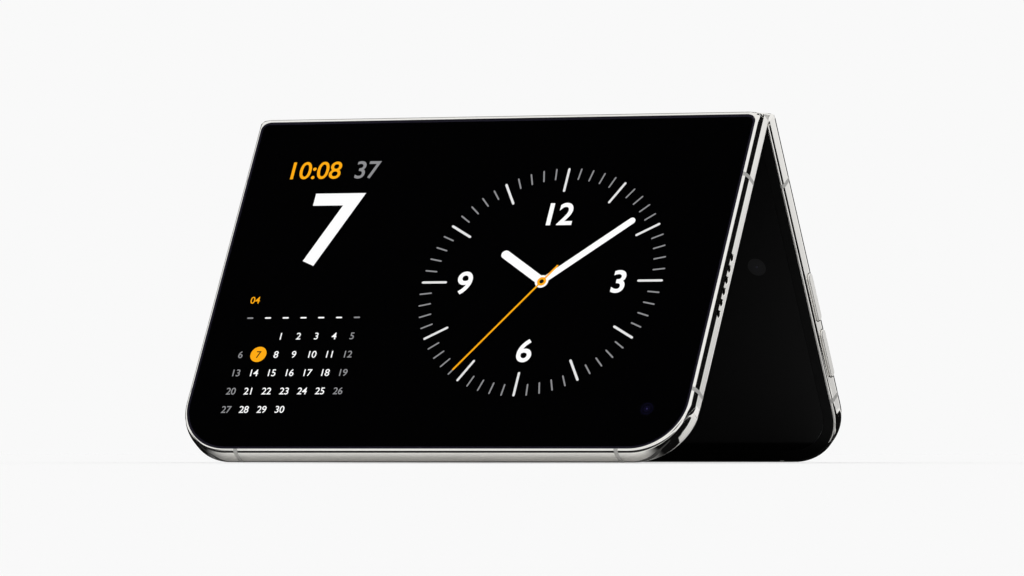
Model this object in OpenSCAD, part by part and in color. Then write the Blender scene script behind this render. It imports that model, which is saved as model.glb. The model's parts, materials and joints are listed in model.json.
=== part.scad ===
// Book-style folding phone, standing like a tent on the free edges of its halves.
// Millimetres. X runs along the hinge and Z is up. The origin is on the ground,
// under the middle of the spine.
//
// Each half is drawn lying on its inner face: x along the hinge, y from the
// hinge-side end to the free edge, z from the inner face to the outer face.
// in_front_half() and in_rear_half() fold it about its own hinge axis. The spine is
// drawn about the middle of the two axes, and in_spine() lifts it to its height.

/* [Phone] */
// Length of the phone along the hinge
body_w = 120; // [112:1:130]
// Length of a half from its hinge-side end to its free edge
half_h = 84.2; // [83:0.1:92]
// Thickness of a half
half_t = 4.7; // [4.6:0.05:5.4]
// Corner radius at the free edge
corner_r = 12.5; // [9:0.5:13]
// Corner radius at the hinge side
hinge_corner_r = 0.7; // [0.3:0.1:0.8]
// Lean of each half from the vertical as the phone stands
lean = 30; // [15:1:40]

/* [Frame] */
// Width of the metal lip around the outer glass
outer_lip = 0.8; // [0.6:0.05:1]
// Width of the metal lip on the hinge side of the outer glass
hinge_lip = 0.9; // [0.6:0.05:1.2]
// Width of the metal lip around the inner display
inner_lip = 0.65; // [0.5:0.05:0.8]
// Width of the frame rail, lip and ledge together
rail_w = 2.2; // [1.9:0.05:2.6]
// Width of the bar that carries the hinge arms
bar_w = 6.8; // [6.6:0.1:7.4]
// Rounding of the outer edges
outer_edge_r = 0.5; // [0.2:0.05:0.6]
// Rounding of the inner edges
inner_edge_r = 0.25; // [0.1:0.05:0.3]
// Rounding of the inner corners that pass each other at the hinge
passing_r = 0.6; // [0.5:0.05:0.7]
// Thickness of the mid plate
mid_plate_t = 0.4; // [0.3:0.05:0.5]

/* [Antenna breaks] */
// Width of a plastic break in the frame
break_w = 0.95; // [0.6:0.05:1.4]
// Depth of a break into the rail
break_depth = 1.6; // [1.2:0.05:1.7]
// Distance of the side breaks from the hinge-side end
break_hinge_y = 15.7; // [12:0.1:20]
// Distance of the side breaks from the free edge
break_free_y = 15.5; // [15:0.1:17]
// Distance of the free edge's breaks from the sides
break_side_x = 15.2; // [14.5:0.1:20]

/* [Displays and glass] */
// Thickness of the cover glass and the back cover
glass_t = 0.65; // [0.5:0.05:0.75]
// Depth of the glass below the metal lip
glass_sink = 0.03; // [0:0.01:0.1]
// Corner radius of the glass at the hinge side
glass_hinge_r = 1.8; // [1:0.1:3]
// Thickness of the cover display panel
panel_t = 0.55; // [0.4:0.05:0.7]
// Thickness of the folding display
film_t = 0.28; // [0.2:0.02:0.3]
// Width of the soft bezel around the folding display
bezel_w = 2.4; // [1.8:0.1:3]
// Height of the bezel above the folding display
bezel_rise = 0.05; // [0.03:0.01:0.08]
// Thickness of the plate behind the folding display
support_t = 0.25; // [0.2:0.01:0.3]
// Half of the stretch of display that bends
fold_half = 3.2; // [3:0.05:3.4]

/* [Hinge] */
// Distance between the two fold axes
axis_gap = 2.5; // [2.45:0.01:2.6]
// Gap between the inner faces when closed
closed_gap = 0.5; // [0.45:0.01:0.6]
// Gap between the hinge-side ends when open flat
open_gap = 0.5; // [0.45:0.01:0.6]
// Distance of each hinge unit from the middle
unit_x = 40; // [34:0.5:44]
// Length of a hinge unit along the axes
unit_w = 12; // [11:0.1:14]
// Thickness of a bracket ear
ear_t = 1.4; // [1:0.1:1.8]
// Radius of a hinge pin
pin_r = 0.27; // [0.22:0.01:0.3]
// Radius of an arm's barrel
barrel_r = 0.5; // [0.42:0.01:0.52]
// Width of an arm's plate
arm_w = 8; // [6.5:0.1:8.4]
// Length of an arm from its axis
arm_l = 5.6; // [5.2:0.1:5.8]
// Thickness of an arm's plate
arm_t = 0.6; // [0.5:0.02:0.65]
// Height of an arm's plate below the axis
arm_drop = 0.15; // [0.1:0.01:0.2]
// Radius of a screw
screw_r = 0.45; // [0.35:0.05:0.5]
// Radius of a screw's head
screw_head_r = 0.8; // [0.7:0.05:0.9]
// Height of a screw's head
screw_head_t = 0.25; // [0.2:0.01:0.3]
// Length of a screw below its head
screw_l = 1.7; // [1.2:0.1:2]
// Distance between the two screws of an arm
screw_pitch = 5; // [4:0.1:5.4]
// Thickness of a friction washer
washer_t = 0.5; // [0.3:0.05:0.8]

/* [Gears] */
// Gear module: pitch diameter over teeth
gear_module = 0.105; // [0.095:0.001:0.108]
// Teeth of a full turn at the arm
arm_teeth = 12; // [12]
// Teeth of an idler
idler_teeth = 10; // [10]
// Width of a gear
gear_w = 1.2; // [0.8:0.1:1.6]
// Radius of an idler's pin
idler_pin_r = 0.18; // [0.14:0.01:0.2]
// Play between teeth along the pitch circle
backlash = 0.035; // [0.03:0.001:0.045]

/* [Spine] */
// Radius of the spine about each axis
spine_r = 2.1; // [2:0.01:2.15]
// Wall of the spine cover
spine_wall = 0.4; // [0.3:0.02:0.45]
// Gap between the spine and the halves
spine_gap = 0.15; // [0.1:0.01:0.2]
// Distance of the spine's ends from the phone's sides
spine_inset = 1.05; // [1:0.01:1.3]
// Thickness of an end cap
cap_t = 1.6; // [1:0.1:2.4]
// Length of an end cap's spigot inside the cover
spigot_l = 2.5; // [1.5:0.1:4]
// Height of the cover's edges above the axes
cover_edge = 0.65; // [0.6:0.01:0.75]
// Depth of the spine below the axes
spine_depth = 0.48; // [0.4:0.01:0.5]

/* [Hinge cable] */
// Middle of the flat cable along the hinge
cable_x = 25; // [24:0.5:26]
// Width of the flat cable
cable_w = 9; // [6:0.5:10]
// Thickness of the flat cable
cable_t = 0.1; // [0.08:0.01:0.12]
// Length of the cable's connector
cable_end_l = 2; // [1.5:0.1:2.4]

/* [Speakers] */
// Holes in a speaker grille
grille_holes = 6; // [3:1:7]
// Radius of a grille hole
grille_r = 0.82; // [0.5:0.02:1]
// Distance between grille holes
grille_pitch = 2.78; // [2.3:0.02:3]
// Distance of the bottom speaker's middle from the free edge
bottom_speaker_y = 24.2; // [24.2:0.1:26]
// Radius of a microphone hole
mic_r = 0.4; // [0.3:0.05:0.6]

/* [Buttons] */
// Length of a volume button
volume_l = 11.6; // [9:0.1:12]
// Distance of the volume down button's middle from the free edge
volume_down_y = 26.15; // [24:0.05:27]
// Distance between the middles of the two volume buttons
volume_pitch = 13.9; // [13.4:0.1:15]
// Length of the power button
power_l = 12; // [9:0.1:13]
// Middle of the power button along the hinge
power_x = 22; // [18:0.5:22]
// Width of a button
button_w = 2; // [1.6:0.1:2.2]
// Height of a button above the frame
button_rise = 0.45; // [0.3:0.05:0.6]
// Travel of a button
button_travel = 0.25; // [0.15:0.01:0.28]
// Width of the flange that keeps a button in
button_flange = 0.4; // [0.3:0.05:0.5]
// Thickness of that flange
button_flange_t = 0.4; // [0.3:0.05:0.45]

/* [Port] */
// Distance of the port's middle from the middle of the half, towards the hinge
port_offset = 4.5; // [3.5:0.1:6]
// Width of the port's mouth
port_w = 8.4; // [8.34:0.02:8.6]
// Height of the port's mouth
port_h = 2.6; // [2.56:0.02:2.7]
// Wall of the port's shell
port_wall = 0.3; // [0.2:0.05:0.35]
// Depth of the port
port_l = 7.4; // [6.6:0.1:8]
// Thickness of the tongue
tongue_t = 0.7; // [0.6:0.05:0.8]
// Width of the tongue
tongue_w = 6.7; // [6:0.1:6.8]

/* [Cameras] */
// Distance of the cover camera from the free edge
cover_camera_y = 10.6; // [10:0.1:12]
// Distance of the cover camera from the side
cover_camera_x = 10.2; // [10:0.1:12]
// Radius of the cover camera's lens
cover_lens_r = 1.6; // [1.2:0.1:2]
// Thickness of that lens
cover_lens_t = 0.2; // [0.1:0.05:0.4]
// Distance of the inner camera from the free edge
inner_camera_y = 48.9; // [48.7:0.1:50]
// Distance of the inner camera from the side
inner_camera_x = 10.6; // [10:0.1:11]
// Radius of the inner camera
inner_camera_r = 2.1; // [1.6:0.1:2.4]
// Distance of the camera plateau's middle from the side
plateau_x = 15.5; // [15:0.1:16]
// Distance of the plateau's middle from the free edge
plateau_free_y = 24.2; // [23.2:0.1:25.2]
// Length of the plateau
plateau_l = 33; // [32:0.1:34]
// Width of the plateau
plateau_w = 15; // [14:0.1:15.6]
// Height of the plateau above the back cover
plateau_rise = 1.5; // [0.8:0.1:2.5]
// Distance between the two rear cameras
lens_pitch = 17; // [16:0.1:17.6]
// Radius of a rear camera's glass
lens_r = 4.2; // [3.4:0.1:4.6]
// Width of the ring around a rear camera's glass
lens_ring_w = 0.8; // [0.5:0.05:1]
// Height of that ring above the plateau
lens_ring_rise = 0.7; // [0.4:0.05:1]
// Radius of the flash
flash_r = 1.5; // [1:0.1:1.8]

/* [Inside] */
// Gap between the frame's bar and what lies behind it
bay_margin = 1.7; // [1.2:0.1:1.9]
// Side of the batteries that faces the boards
battery_x = 14; // [8:0.5:14.5]
// Distance of the front battery from the free edge
front_battery_end = 18.2; // [16.2:0.5:26.2]
// Distance of the rear battery from the free edge
rear_battery_end = 8.2; // [7.2:0.5:18.2]
// Thickness of the batteries
battery_t = 2.3; // [1.8:0.05:2.35]
// Thickness of the boards
board_t = 0.6; // [0.4:0.05:0.7]
// Height of the shields on the main board
shield_t = 1.4; // [1:0.05:1.7]
// Depth of a speaker box from the frame
speaker_d = 11; // [8:0.5:12]
// Length of the charging coil across its outside
coil_d = 42; // [34:0.5:44]
// Width of the coil's winding
coil_w = 9; // [6:0.5:12]
// Length of a closing magnet
magnet_l = 8; // [5:0.5:9]
// Width of a closing magnet
magnet_w = 2; // [1.5:0.1:2.2]
// Distance of the magnets from the middle
magnet_x = 36; // [33.5:0.5:37]

/* [Fits] */
// Running clearance of a pin in its bore
run_fit = 0.03; // [0.01:0.01:0.05]
// Clearance around a glass, a display or a plate
seat_fit = 0.05; // [0.02:0.01:0.08]
// Clearance around a button and its flange
button_fit = 0.08; // [0.05:0.01:0.1]
// Gap between a part and what moves past it
side_fit = 0.05; // [0.03:0.01:0.08]

/* [Hidden] */
$fn = 72;

// Over-reach of a cutter past the face it opens
over = 1;
// Heights in a half, from its inner face
film_z0 = bezel_rise;
film_z1 = film_z0 + film_t;
support_z1 = film_z1 + support_t;
mid_z1 = support_z1 + mid_plate_t;
glass_z1 = half_t - glass_sink;
glass_z0 = glass_z1 - glass_t;
panel_z0 = glass_z0 - panel_t;
side_z = half_t / 2;
// Hinge axis in a half, and how far each half is folded from open flat
pivot_y = (axis_gap - open_gap) / 2;
pivot_z = (axis_gap - closed_gap) / 2;
fold = 90 - lean;
// Height of the axes above the ground, with the inner free edges standing on it
axis_h = (half_h - pivot_y - inner_edge_r) * sin(fold)
    + (pivot_z - inner_edge_r) * cos(fold) + inner_edge_r;
// Sides of the bay inside the rails
bay_x = body_w / 2 - rail_w;
bay_y0 = bar_w + bay_margin;
bay_y1 = half_h - rail_w;
film_y0 = fold_half - open_gap / 2;
// Hinge and spine
cut_r = spine_r + spine_gap;
spine_l = body_w - 2 * spine_inset;
cover_l = spine_l - 2 * cap_t;
bore_r = pin_r + run_fit;
barrel_l = unit_w - 2 * ear_t - 2 * washer_t - 4 * side_fit;
plate_z0 = pivot_z - arm_drop;
support_y0 = pivot_y + sqrt(cut_r * cut_r - pow(pivot_z - support_z1, 2)) + side_fit;
screw_y = pivot_y + (cut_r + arm_l) / 2;
// Gears, with their teeth's height and depth as shares of the module
addendum_share = 0.85;
dedendum_share = 1.1;
flank_slope = tan(22);
arm_pitch_r = gear_module * arm_teeth / 2;
idler_pitch_r = gear_module * idler_teeth / 2;
addendum = addendum_share * gear_module;
dedendum = dedendum_share * gear_module;
idler_y = idler_pitch_r;
idler_z = sqrt(pow(arm_pitch_r + idler_pitch_r, 2) - pow(axis_gap / 2 - idler_y, 2));
mesh_angle = atan2(idler_z, axis_gap / 2 - idler_y);
front_idler_phase = 0;
rear_idler_phase = meshed(front_idler_phase, idler_teeth, idler_teeth, 0);
front_gear_phase = meshed(front_idler_phase, idler_teeth, arm_teeth, 180 + mesh_angle);
rear_gear_phase = meshed(rear_idler_phase, idler_teeth, arm_teeth, -mesh_angle);
sector_margin = 25;
// Cable, measured down from the axes and along a half
cable_top = pivot_z - film_z1 - run_fit;
cable_y1 = bar_w + bay_margin + cable_end_l;
// Places along a half, from the hinge-side end, and along the hinge, from the middle
cover_cam_x = body_w / 2 - cover_camera_x;
cover_cam_y = half_h - cover_camera_y;
inner_cam_x = body_w / 2 - inner_camera_x;
inner_cam_y = half_h - inner_camera_y;
plateau_cx = body_w / 2 - plateau_x;
plateau_cy = half_h - plateau_free_y;
speaker_y = half_h - bottom_speaker_y;
down_y = half_h - volume_down_y;
up_y = down_y - volume_pitch;
port_y = half_h / 2 - port_offset;
front_battery_y = half_h - front_battery_end;
rear_battery_y = half_h - rear_battery_end;
// Walls of the camera and speaker housings
housing_wall = 0.8;
// Boards, and the bay in the main board that the rear cameras stand in
board_gap = 2.5;
board_x0 = battery_x + board_gap;
board_x1 = bay_x - bay_margin;
camera_bay_y = plateau_cy - plateau_l / 2 - bay_margin;
// Speaker meshes and the speakers behind them
mesh_t = 0.15;
mesh_margin = 0.25;
mesh_l = (grille_holes + 1) * grille_pitch;
speaker_l = mesh_l + 2 * housing_wall;
// Switches behind the buttons, shields, haptic motor and magnets
switch_t = 0.9;
switch_h = 2.4;
switch_l = 4.5;
shield_margin = 2;
haptic_l = 20;
magnet_t = 1.5;
// How far the port's shell and its tongue stay back from the frame
port_recess = 0.1;
tongue_recess = 0.9;
// Width of a screw's drive as a share of the screw, and its depth
hex_drive = [0.8, 0.12];
// Side of the parts that lie between the batteries and the bottom speaker
bottom_x = -bay_x + mesh_t + speaker_d + bay_margin;
// Clear space kept between neighbours inside the bays
gap = 0.1;

// ---- angles and curves ----

// Phase of a gear in mesh with one whose phase and teeth are given, and which sees
// it at angle a
function meshed(phase, teeth, other_teeth, a) =
    a + 180 + (180 - teeth * (phase - a)) / other_teeth;
function wrapped(a) = a - 360 * floor(a / 360);
// Share of the fold that a point of the display doesn't take, from its distance to
// the middle of the phone when open flat
function held(s) = let (t = max(0, (fold_half - s) / fold_half)) t * t * (3 - 2 * t);
// Where a point of the open-flat display stands now, from its distance to the middle
// of the phone and its depth below the axes; side is -1 in front and 1 at the rear
function bent(y, depth, side) =
    let (a = (1 - held(y)) * fold, r = y - axis_gap / 2)
    [side * (axis_gap / 2 + r * cos(a) - depth * sin(a)), -r * sin(a) - depth * cos(a)];
function strip_side(depth, steps) = [
    for (i = [-steps:steps]) bent(fold_half * abs(i) / steps, depth, i < 0 ? -1 : 1)
];
function reversed(list) = [for (i = [len(list) - 1:-1:0]) list[i]];

// ---- helpers ----

module in_front_half() {
    translate([0, -axis_gap / 2, axis_h]) rotate([fold, 0, 0]) mirror([0, 1, 0])
        translate([0, -pivot_y, -pivot_z]) children();
}

module in_rear_half() {
    translate([0, axis_gap / 2, axis_h]) rotate([-fold, 0, 0])
        translate([0, -pivot_y, -pivot_z]) children();
}

module in_spine() {
    translate([0, 0, axis_h]) children();
}

// Stands a drawing up so that its x is Y and its y is Z, and extrudes it along X
module along_x(l) {
    rotate([90, 0, 90]) linear_extrude(l, center = true) children();
}

module both_sides() {
    children();
    mirror([1, 0, 0]) children();
}

module at_units() {
    for (side = [-1, 1]) translate([side * unit_x, 0, 0]) children();
}

// What a rounding of radius r takes off the corner at the drawing's origin
module corner_waste(r) {
    difference() {
        translate([-over, -over]) square(r + over);
        translate([r, r]) circle(r);
    }
}

// Outline of a half, drawn in from its sides, its free edge and its hinge-side end
module half_outline(side, hinge, free_r, hinge_r) {
    x = body_w / 2 - side;
    difference() {
        translate([-x, hinge]) square([2 * x, half_h - side - hinge]);
        for (s = [-1, 1]) {
            translate([s * x, half_h - side]) rotate(s > 0 ? 180 : 270)
                corner_waste(free_r);
            translate([s * x, hinge]) rotate(s > 0 ? 90 : 0) corner_waste(hinge_r);
        }
    }
}

module slab(z0, z1) {
    translate([0, 0, z0]) linear_extrude(z1 - z0) children();
}

module box(x0, x1, y0, y1, z0, z1) {
    translate([x0, y0, z0]) cube([x1 - x0, y1 - y0, z1 - z0]);
}

module pill(l, w) {
    square([l - w, w], center = true);
    for (s = [-1, 1]) translate([s * (l - w) / 2, 0]) circle(w / 2);
}

// ---- frame, shared by the two halves ----

// Section of the rail: x inwards from the outside, y from the inner face up
module rail_section() {
    difference() {
        union() {
            square([inner_lip, half_t]);
            translate([0, support_z1]) square([outer_lip, half_t - support_z1]);
            translate([0, support_z1]) square([rail_w, glass_z0 - support_z1]);
        }
        corner_waste(inner_edge_r);
        translate([0, half_t]) mirror([0, 1]) corner_waste(outer_edge_r);
    }
}

module rail_ring() {
    side_l = half_h - corner_r;
    free_l = body_w - 2 * corner_r;
    both_sides() translate([-body_w / 2, side_l, 0]) rotate([90, 0, 0])
        linear_extrude(side_l) rail_section();
    translate([free_l / 2, half_h, 0]) rotate([0, 0, -90]) rotate([90, 0, 0])
        linear_extrude(free_l) rail_section();
    both_sides() translate([body_w / 2 - corner_r, half_h - corner_r, 0])
        rotate_extrude(angle = 90) translate([corner_r, 0]) mirror([1, 0]) rail_section();
}

// The stretches of rail that are plastic, so that the metal can serve as antennas
module break_slots() {
    both_sides() for (y = [break_hinge_y, half_h - break_free_y])
        box(-body_w / 2 - over, -body_w / 2 + break_depth,
            y - break_w / 2, y + break_w / 2, -over, half_t + over);
    both_sides() box(body_w / 2 - break_side_x - break_w / 2,
        body_w / 2 - break_side_x + break_w / 2,
        half_h - break_depth, half_h + over, -over, half_t + over);
}

module hinge_bar() {
    along_x(body_w - 2 * outer_edge_r) difference() {
        union() {
            translate([0, support_z1]) square([bar_w, glass_z0 - support_z1]);
            translate([0, support_z1]) square([hinge_lip, half_t - support_z1]);
        }
        translate([0, half_t]) mirror([0, 1]) corner_waste(outer_edge_r / 2);
    }
}

// The space that the spine takes as the half turns round it
module spine_cut() {
    translate([0, pivot_y, pivot_z]) {
        along_x(spine_l + 2 * spine_gap) circle(cut_r);
        along_x(spine_l + 2 * spine_gap) translate([-pivot_y - over, -pivot_z - over])
            square([pivot_y + over, pivot_z + over + cut_r]);
    }
}

module arm_pockets() {
    reach = arm_w / 2 + seat_fit;
    at_units() {
        box(-reach, reach, pivot_y, pivot_y + arm_l + seat_fit,
            0, plate_z0 + arm_t + seat_fit);
        for (s = [-1, 1]) translate([s * screw_pitch / 2, screw_y, 0])
            cylinder(r = screw_r, h = plate_z0 + screw_head_t + screw_l + gap);
    }
}

module cable_slot(z0, z1) {
    box(cable_x - cable_w / 2 - seat_fit, cable_x + cable_w / 2 + seat_fit,
        bar_w + bay_margin - seat_fit, cable_y1 + seat_fit, z0, z1);
}

module bare_frame() {
    difference() {
        union() {
            difference() {
                rail_ring();
                break_slots();
            }
            hinge_bar();
            slab(support_z1, mid_z1)
                half_outline(rail_w - seat_fit, bar_w / 2, corner_r - rail_w, seat_fit);
        }
        spine_cut();
        arm_pockets();
        cable_slot(0, half_t);
        // Inner corner that passes the other half's, and the corners in plan
        along_x(body_w + over) corner_waste(passing_r);
        both_sides() translate([-body_w / 2, 0, -over])
            linear_extrude(half_t + 2 * over) corner_waste(hinge_corner_r);
    }
}

module antenna_breaks() {
    intersection() {
        rail_ring();
        break_slots();
    }
}

// Holes of a grille through the rail on the +X side
module grille(y) {
    for (i = [0:grille_holes - 1])
        translate([body_w / 2, y + (i - (grille_holes - 1) / 2) * grille_pitch, side_z])
            rotate([0, 90, 0]) cylinder(r = grille_r, h = 3 * rail_w, center = true);
}

module mic_hole(y) {
    translate([body_w / 2, y, side_z]) rotate([0, 90, 0])
        cylinder(r = mic_r, h = 3 * rail_w, center = true);
}

module grille_mesh(y) {
    box(bay_x - mesh_t, bay_x, y - mesh_l / 2, y + mesh_l / 2,
        side_z - grille_r - mesh_margin, side_z + grille_r + mesh_margin);
}

module speaker_box(y, top) {
    box(bay_x - mesh_t - speaker_d, bay_x - mesh_t,
        y - speaker_l / 2, y + speaker_l / 2, mid_z1, top);
}

module glass_outline() {
    half_outline(outer_lip + seat_fit, hinge_lip + seat_fit,
        corner_r - outer_lip - seat_fit, glass_hinge_r);
}

module support_plate() {
    difference() {
        slab(film_z1, support_z1) half_outline(inner_lip + seat_fit, support_y0,
            corner_r - inner_lip - seat_fit, seat_fit);
        box(cable_x - cable_w / 2 - seat_fit, cable_x + cable_w / 2 + seat_fit,
            0, cable_y1 + seat_fit, 0, support_z1 + over);
    }
}

module inner_bezel() {
    slab(0, film_z1) difference() {
        half_outline(inner_lip + seat_fit, film_y0,
            corner_r - inner_lip - seat_fit, seat_fit);
        half_outline(inner_lip + bezel_w, -over, corner_r - inner_lip - bezel_w, seat_fit);
    }
}

module inner_display() {
    slab(film_z0, film_z1) half_outline(inner_lip + bezel_w + seat_fit, film_y0,
        corner_r - inner_lip - bezel_w - seat_fit, seat_fit);
}

// Plates and barrels of the arms that join a half to the spine
module arm_bodies() {
    at_units() translate([0, pivot_y, pivot_z]) difference() {
        union() {
            along_x(barrel_l) circle(barrel_r);
            box(-arm_w / 2, arm_w / 2, 0, arm_l, -arm_drop, arm_t - arm_drop);
        }
        along_x(unit_w) circle(bore_r);
        for (s = [-1, 1]) translate([s * screw_pitch / 2, screw_y - pivot_y, 0]) {
            cylinder(r = screw_r + run_fit, h = 2 * arm_t, center = true);
            translate([0, 0, -arm_drop - over])
                cylinder(r = screw_head_r + run_fit, h = over + screw_head_t);
        }
    }
}

module arm_screws() {
    at_units() for (s = [-1, 1])
        translate([s * screw_pitch / 2, screw_y, plate_z0]) difference() {
            union() {
                cylinder(r = screw_head_r, h = screw_head_t);
                cylinder(r = screw_r, h = screw_head_t + screw_l);
            }
            translate([0, 0, -over])
                cylinder(r = screw_r * hex_drive[0], h = over + hex_drive[1], $fn = 6);
        }
}

module magnets() {
    both_sides() box(magnet_x - magnet_l / 2, magnet_x + magnet_l / 2,
        bay_y1 - magnet_w - gap, bay_y1 - gap, mid_z1, mid_z1 + magnet_t);
}

// ---- gears ----

// A gear's drawing about its axis, with the teeth that lie from angle a0 to a1
module gear_drawing(teeth, pitch_r, phase, bore, a0, a1) {
    step = 360 / teeth;
    half_tooth = PI * gear_module / 4 - backlash / 2;
    difference() {
        union() {
            circle(pitch_r - dedendum);
            for (k = [0:teeth - 1])
                let (a = wrapped(phase + k * step - a0) + a0)
                    if (a <= a1) rotate(a) polygon([
                        [0, -half_tooth - dedendum * flank_slope],
                        [pitch_r - dedendum, -half_tooth - dedendum * flank_slope],
                        [pitch_r + addendum, -half_tooth + addendum * flank_slope],
                        [pitch_r + addendum, half_tooth - addendum * flank_slope],
                        [pitch_r - dedendum, half_tooth + dedendum * flank_slope],
                        [0, half_tooth + dedendum * flank_slope]
                    ]);
        }
        circle(bore);
    }
}

// Teeth of an arm's sector gear, standing as they mesh now; side is -1 in front
module sector_gears(side, phase) {
    first = mesh_angle - lean - sector_margin;
    last = mesh_angle + fold + sector_margin;
    in_spine() at_units() translate([0, side * axis_gap / 2, 0]) along_x(gear_w)
        gear_drawing(arm_teeth, arm_pitch_r, phase, bore_r,
            side < 0 ? first : 180 - last, side < 0 ? last : 180 - first);
}

module idler_gears(side, phase) {
    in_spine() at_units() translate([0, side * idler_y, idler_z]) along_x(gear_w)
        gear_drawing(idler_teeth, idler_pitch_r, phase, idler_pin_r + run_fit, 0, 360);
}

// ---- front half ----

module front_frame() {
    color("gainsboro") in_front_half() difference() {
        bare_frame();
        grille(half_h / 2);
        mirror([1, 0, 0]) mic_hole(half_h / 2);
    }
}

module front_antenna_breaks() {
    color("darkgray") in_front_half() antenna_breaks();
}

module cover_glass() {
    color("black") in_front_half() slab(glass_z0, glass_z1) glass_outline();
}

module cover_display_panel() {
    color("dimgray") in_front_half() difference() {
        slab(panel_z0, glass_z0) half_outline(rail_w + seat_fit, bar_w + seat_fit,
            corner_r - rail_w - seat_fit, seat_fit);
        translate([cover_cam_x, cover_cam_y, 0])
            cylinder(r = cover_lens_r + housing_wall, h = half_t);
    }
}

module cover_camera() {
    side = 2 * cover_lens_r;
    color("darkslategray") in_front_half() translate([cover_cam_x, cover_cam_y, 0]) {
        box(-side, side, -side, side, mid_z1, panel_z0 - gap);
        translate([0, 0, mid_z1])
            cylinder(r = cover_lens_r + housing_wall / 2, h = glass_z0 - cover_lens_t - mid_z1);
    }
}

module cover_camera_lens() {
    color("midnightblue") in_front_half() translate([cover_cam_x, cover_cam_y, 0])
        translate([0, 0, glass_z0 - cover_lens_t])
            cylinder(r = cover_lens_r, h = cover_lens_t);
}

module front_speaker() {
    color("slategray") in_front_half() speaker_box(half_h / 2, panel_z0 - gap);
}

module front_speaker_mesh() {
    color("dimgray") in_front_half() grille_mesh(half_h / 2);
}

module front_battery() {
    color("darkslateblue") in_front_half() box(-bay_x + bay_margin, battery_x,
        bay_y0, front_battery_y, mid_z1, mid_z1 + battery_t);
}

module front_board() {
    speaker_side = bay_x - mesh_t - speaker_d - gap;
    speaker_y0 = half_h / 2 - speaker_l / 2 - gap;
    color("darkgreen") in_front_half() {
        box(board_x0, board_x1, bay_y0, speaker_y0, mid_z1, mid_z1 + board_t);
        box(board_x0, speaker_side, bay_y0, front_battery_y, mid_z1, mid_z1 + board_t);
    }
}

module front_magnets() {
    color("silver") in_front_half() magnets();
}

module front_support_plate() {
    color("lightsteelblue") in_front_half() support_plate();
}

module front_inner_bezel() {
    color("dimgray") in_front_half() inner_bezel();
}

module front_inner_display() {
    color("black") in_front_half() inner_display();
}

module front_hinge_arms() {
    color("lightslategray") {
        in_front_half() arm_bodies();
        sector_gears(-1, front_gear_phase);
    }
}

module front_arm_screws() {
    color("gray") in_front_half() arm_screws();
}

// ---- rear half ----

// A side button, its cap's outer face button_rise outside the plane at x = 0
module button(l) {
    shoulder = rail_w - button_flange_t - side_fit;
    color("gainsboro") {
        translate([(button_rise - shoulder) / 2, 0, 0])
            along_x(shoulder + button_rise) pill(l, button_w);
        translate([-shoulder - button_flange_t / 2, 0, 0]) along_x(button_flange_t)
            pill(l + 2 * button_flange, button_w + 2 * button_flange);
    }
}

// The room that a button takes in the rail, its flange and travel included
module button_room(l) {
    pocket = button_flange_t + side_fit;
    grow = 2 * (button_flange + button_fit);
    along_x(2 * rail_w + over) pill(l + 2 * button_fit, button_w + 2 * button_fit);
    translate([-rail_w - over / 2 + pocket / 2, 0, 0]) along_x(pocket + over)
        pill(l + grow, button_w + grow);
}

module on_side(y) {
    translate([body_w / 2, y, side_z]) children();
}

module on_free_edge(x) {
    translate([x, half_h, side_z]) rotate([0, 0, 90]) children();
}

module rear_frame() {
    color("gainsboro") in_rear_half() difference() {
        bare_frame();
        on_side(up_y) button_room(volume_l);
        on_side(down_y) button_room(volume_l);
        on_free_edge(power_x) button_room(power_l);
        mirror([1, 0, 0]) {
            grille(speaker_y);
            mic_hole(break_hinge_y + 6 * mic_r);
            port_room();
        }
        translate([inner_cam_x, inner_cam_y, 0])
            cylinder(r = inner_camera_r + gap, h = half_t);
    }
}

module rear_antenna_breaks() {
    color("darkgray") in_rear_half() antenna_breaks();
}

module back_cover() {
    color("gainsboro") in_rear_half() difference() {
        slab(glass_z0, glass_z1) glass_outline();
        plateau_at(0) slab(0, 2 * half_t)
            pill(plateau_l + 2 * seat_fit, plateau_w + 2 * seat_fit);
    }
}

module plateau_at(z) {
    translate([plateau_cx, plateau_cy, z]) rotate([0, 0, 90]) children();
}

module at_lenses() {
    for (s = [-1, 1]) translate([s * lens_pitch / 2, 0, 0]) children();
}

module at_flash() {
    translate([0, plateau_w / 2 - flash_r - lens_ring_w, 0]) children();
}

module camera_plateau() {
    color("silver") in_rear_half() plateau_at(0) difference() {
        slab(glass_z0, half_t + plateau_rise) pill(plateau_l, plateau_w);
        at_lenses() translate([0, 0, glass_z0 - over])
            cylinder(r = lens_r + lens_ring_w, h = half_t);
        at_flash() translate([0, 0, glass_z0 - over]) cylinder(r = flash_r, h = half_t);
    }
}

module camera_rings() {
    color("gainsboro") in_rear_half() plateau_at(glass_z0) at_lenses() difference() {
        cylinder(r = lens_r + lens_ring_w, h = glass_sink + glass_t + plateau_rise
            + lens_ring_rise);
        translate([0, 0, -over]) cylinder(r = lens_r, h = half_t);
    }
}

module camera_lens_glasses() {
    color("midnightblue") in_rear_half() plateau_at(half_t + plateau_rise) at_lenses()
        cylinder(r = lens_r, h = lens_ring_rise - 2 * gap);
}

module camera_module() {
    side = lens_r + housing_wall / 2;
    box(-side, side, -side, side, mid_z1, glass_z0 - gap);
    cylinder(r = lens_r - 2 * gap, h = half_t + plateau_rise);
}

module above_mid_plate() {
    intersection() {
        children();
        slab(mid_z1, 2 * half_t) square(3 * body_w, center = true);
    }
}

module main_camera() {
    color("darkslategray") in_rear_half() above_mid_plate() plateau_at(0)
        translate([-lens_pitch / 2, 0, 0]) camera_module();
}

module wide_camera() {
    color("darkslategray") in_rear_half() above_mid_plate() plateau_at(0)
        translate([lens_pitch / 2, 0, 0]) camera_module();
}

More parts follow.
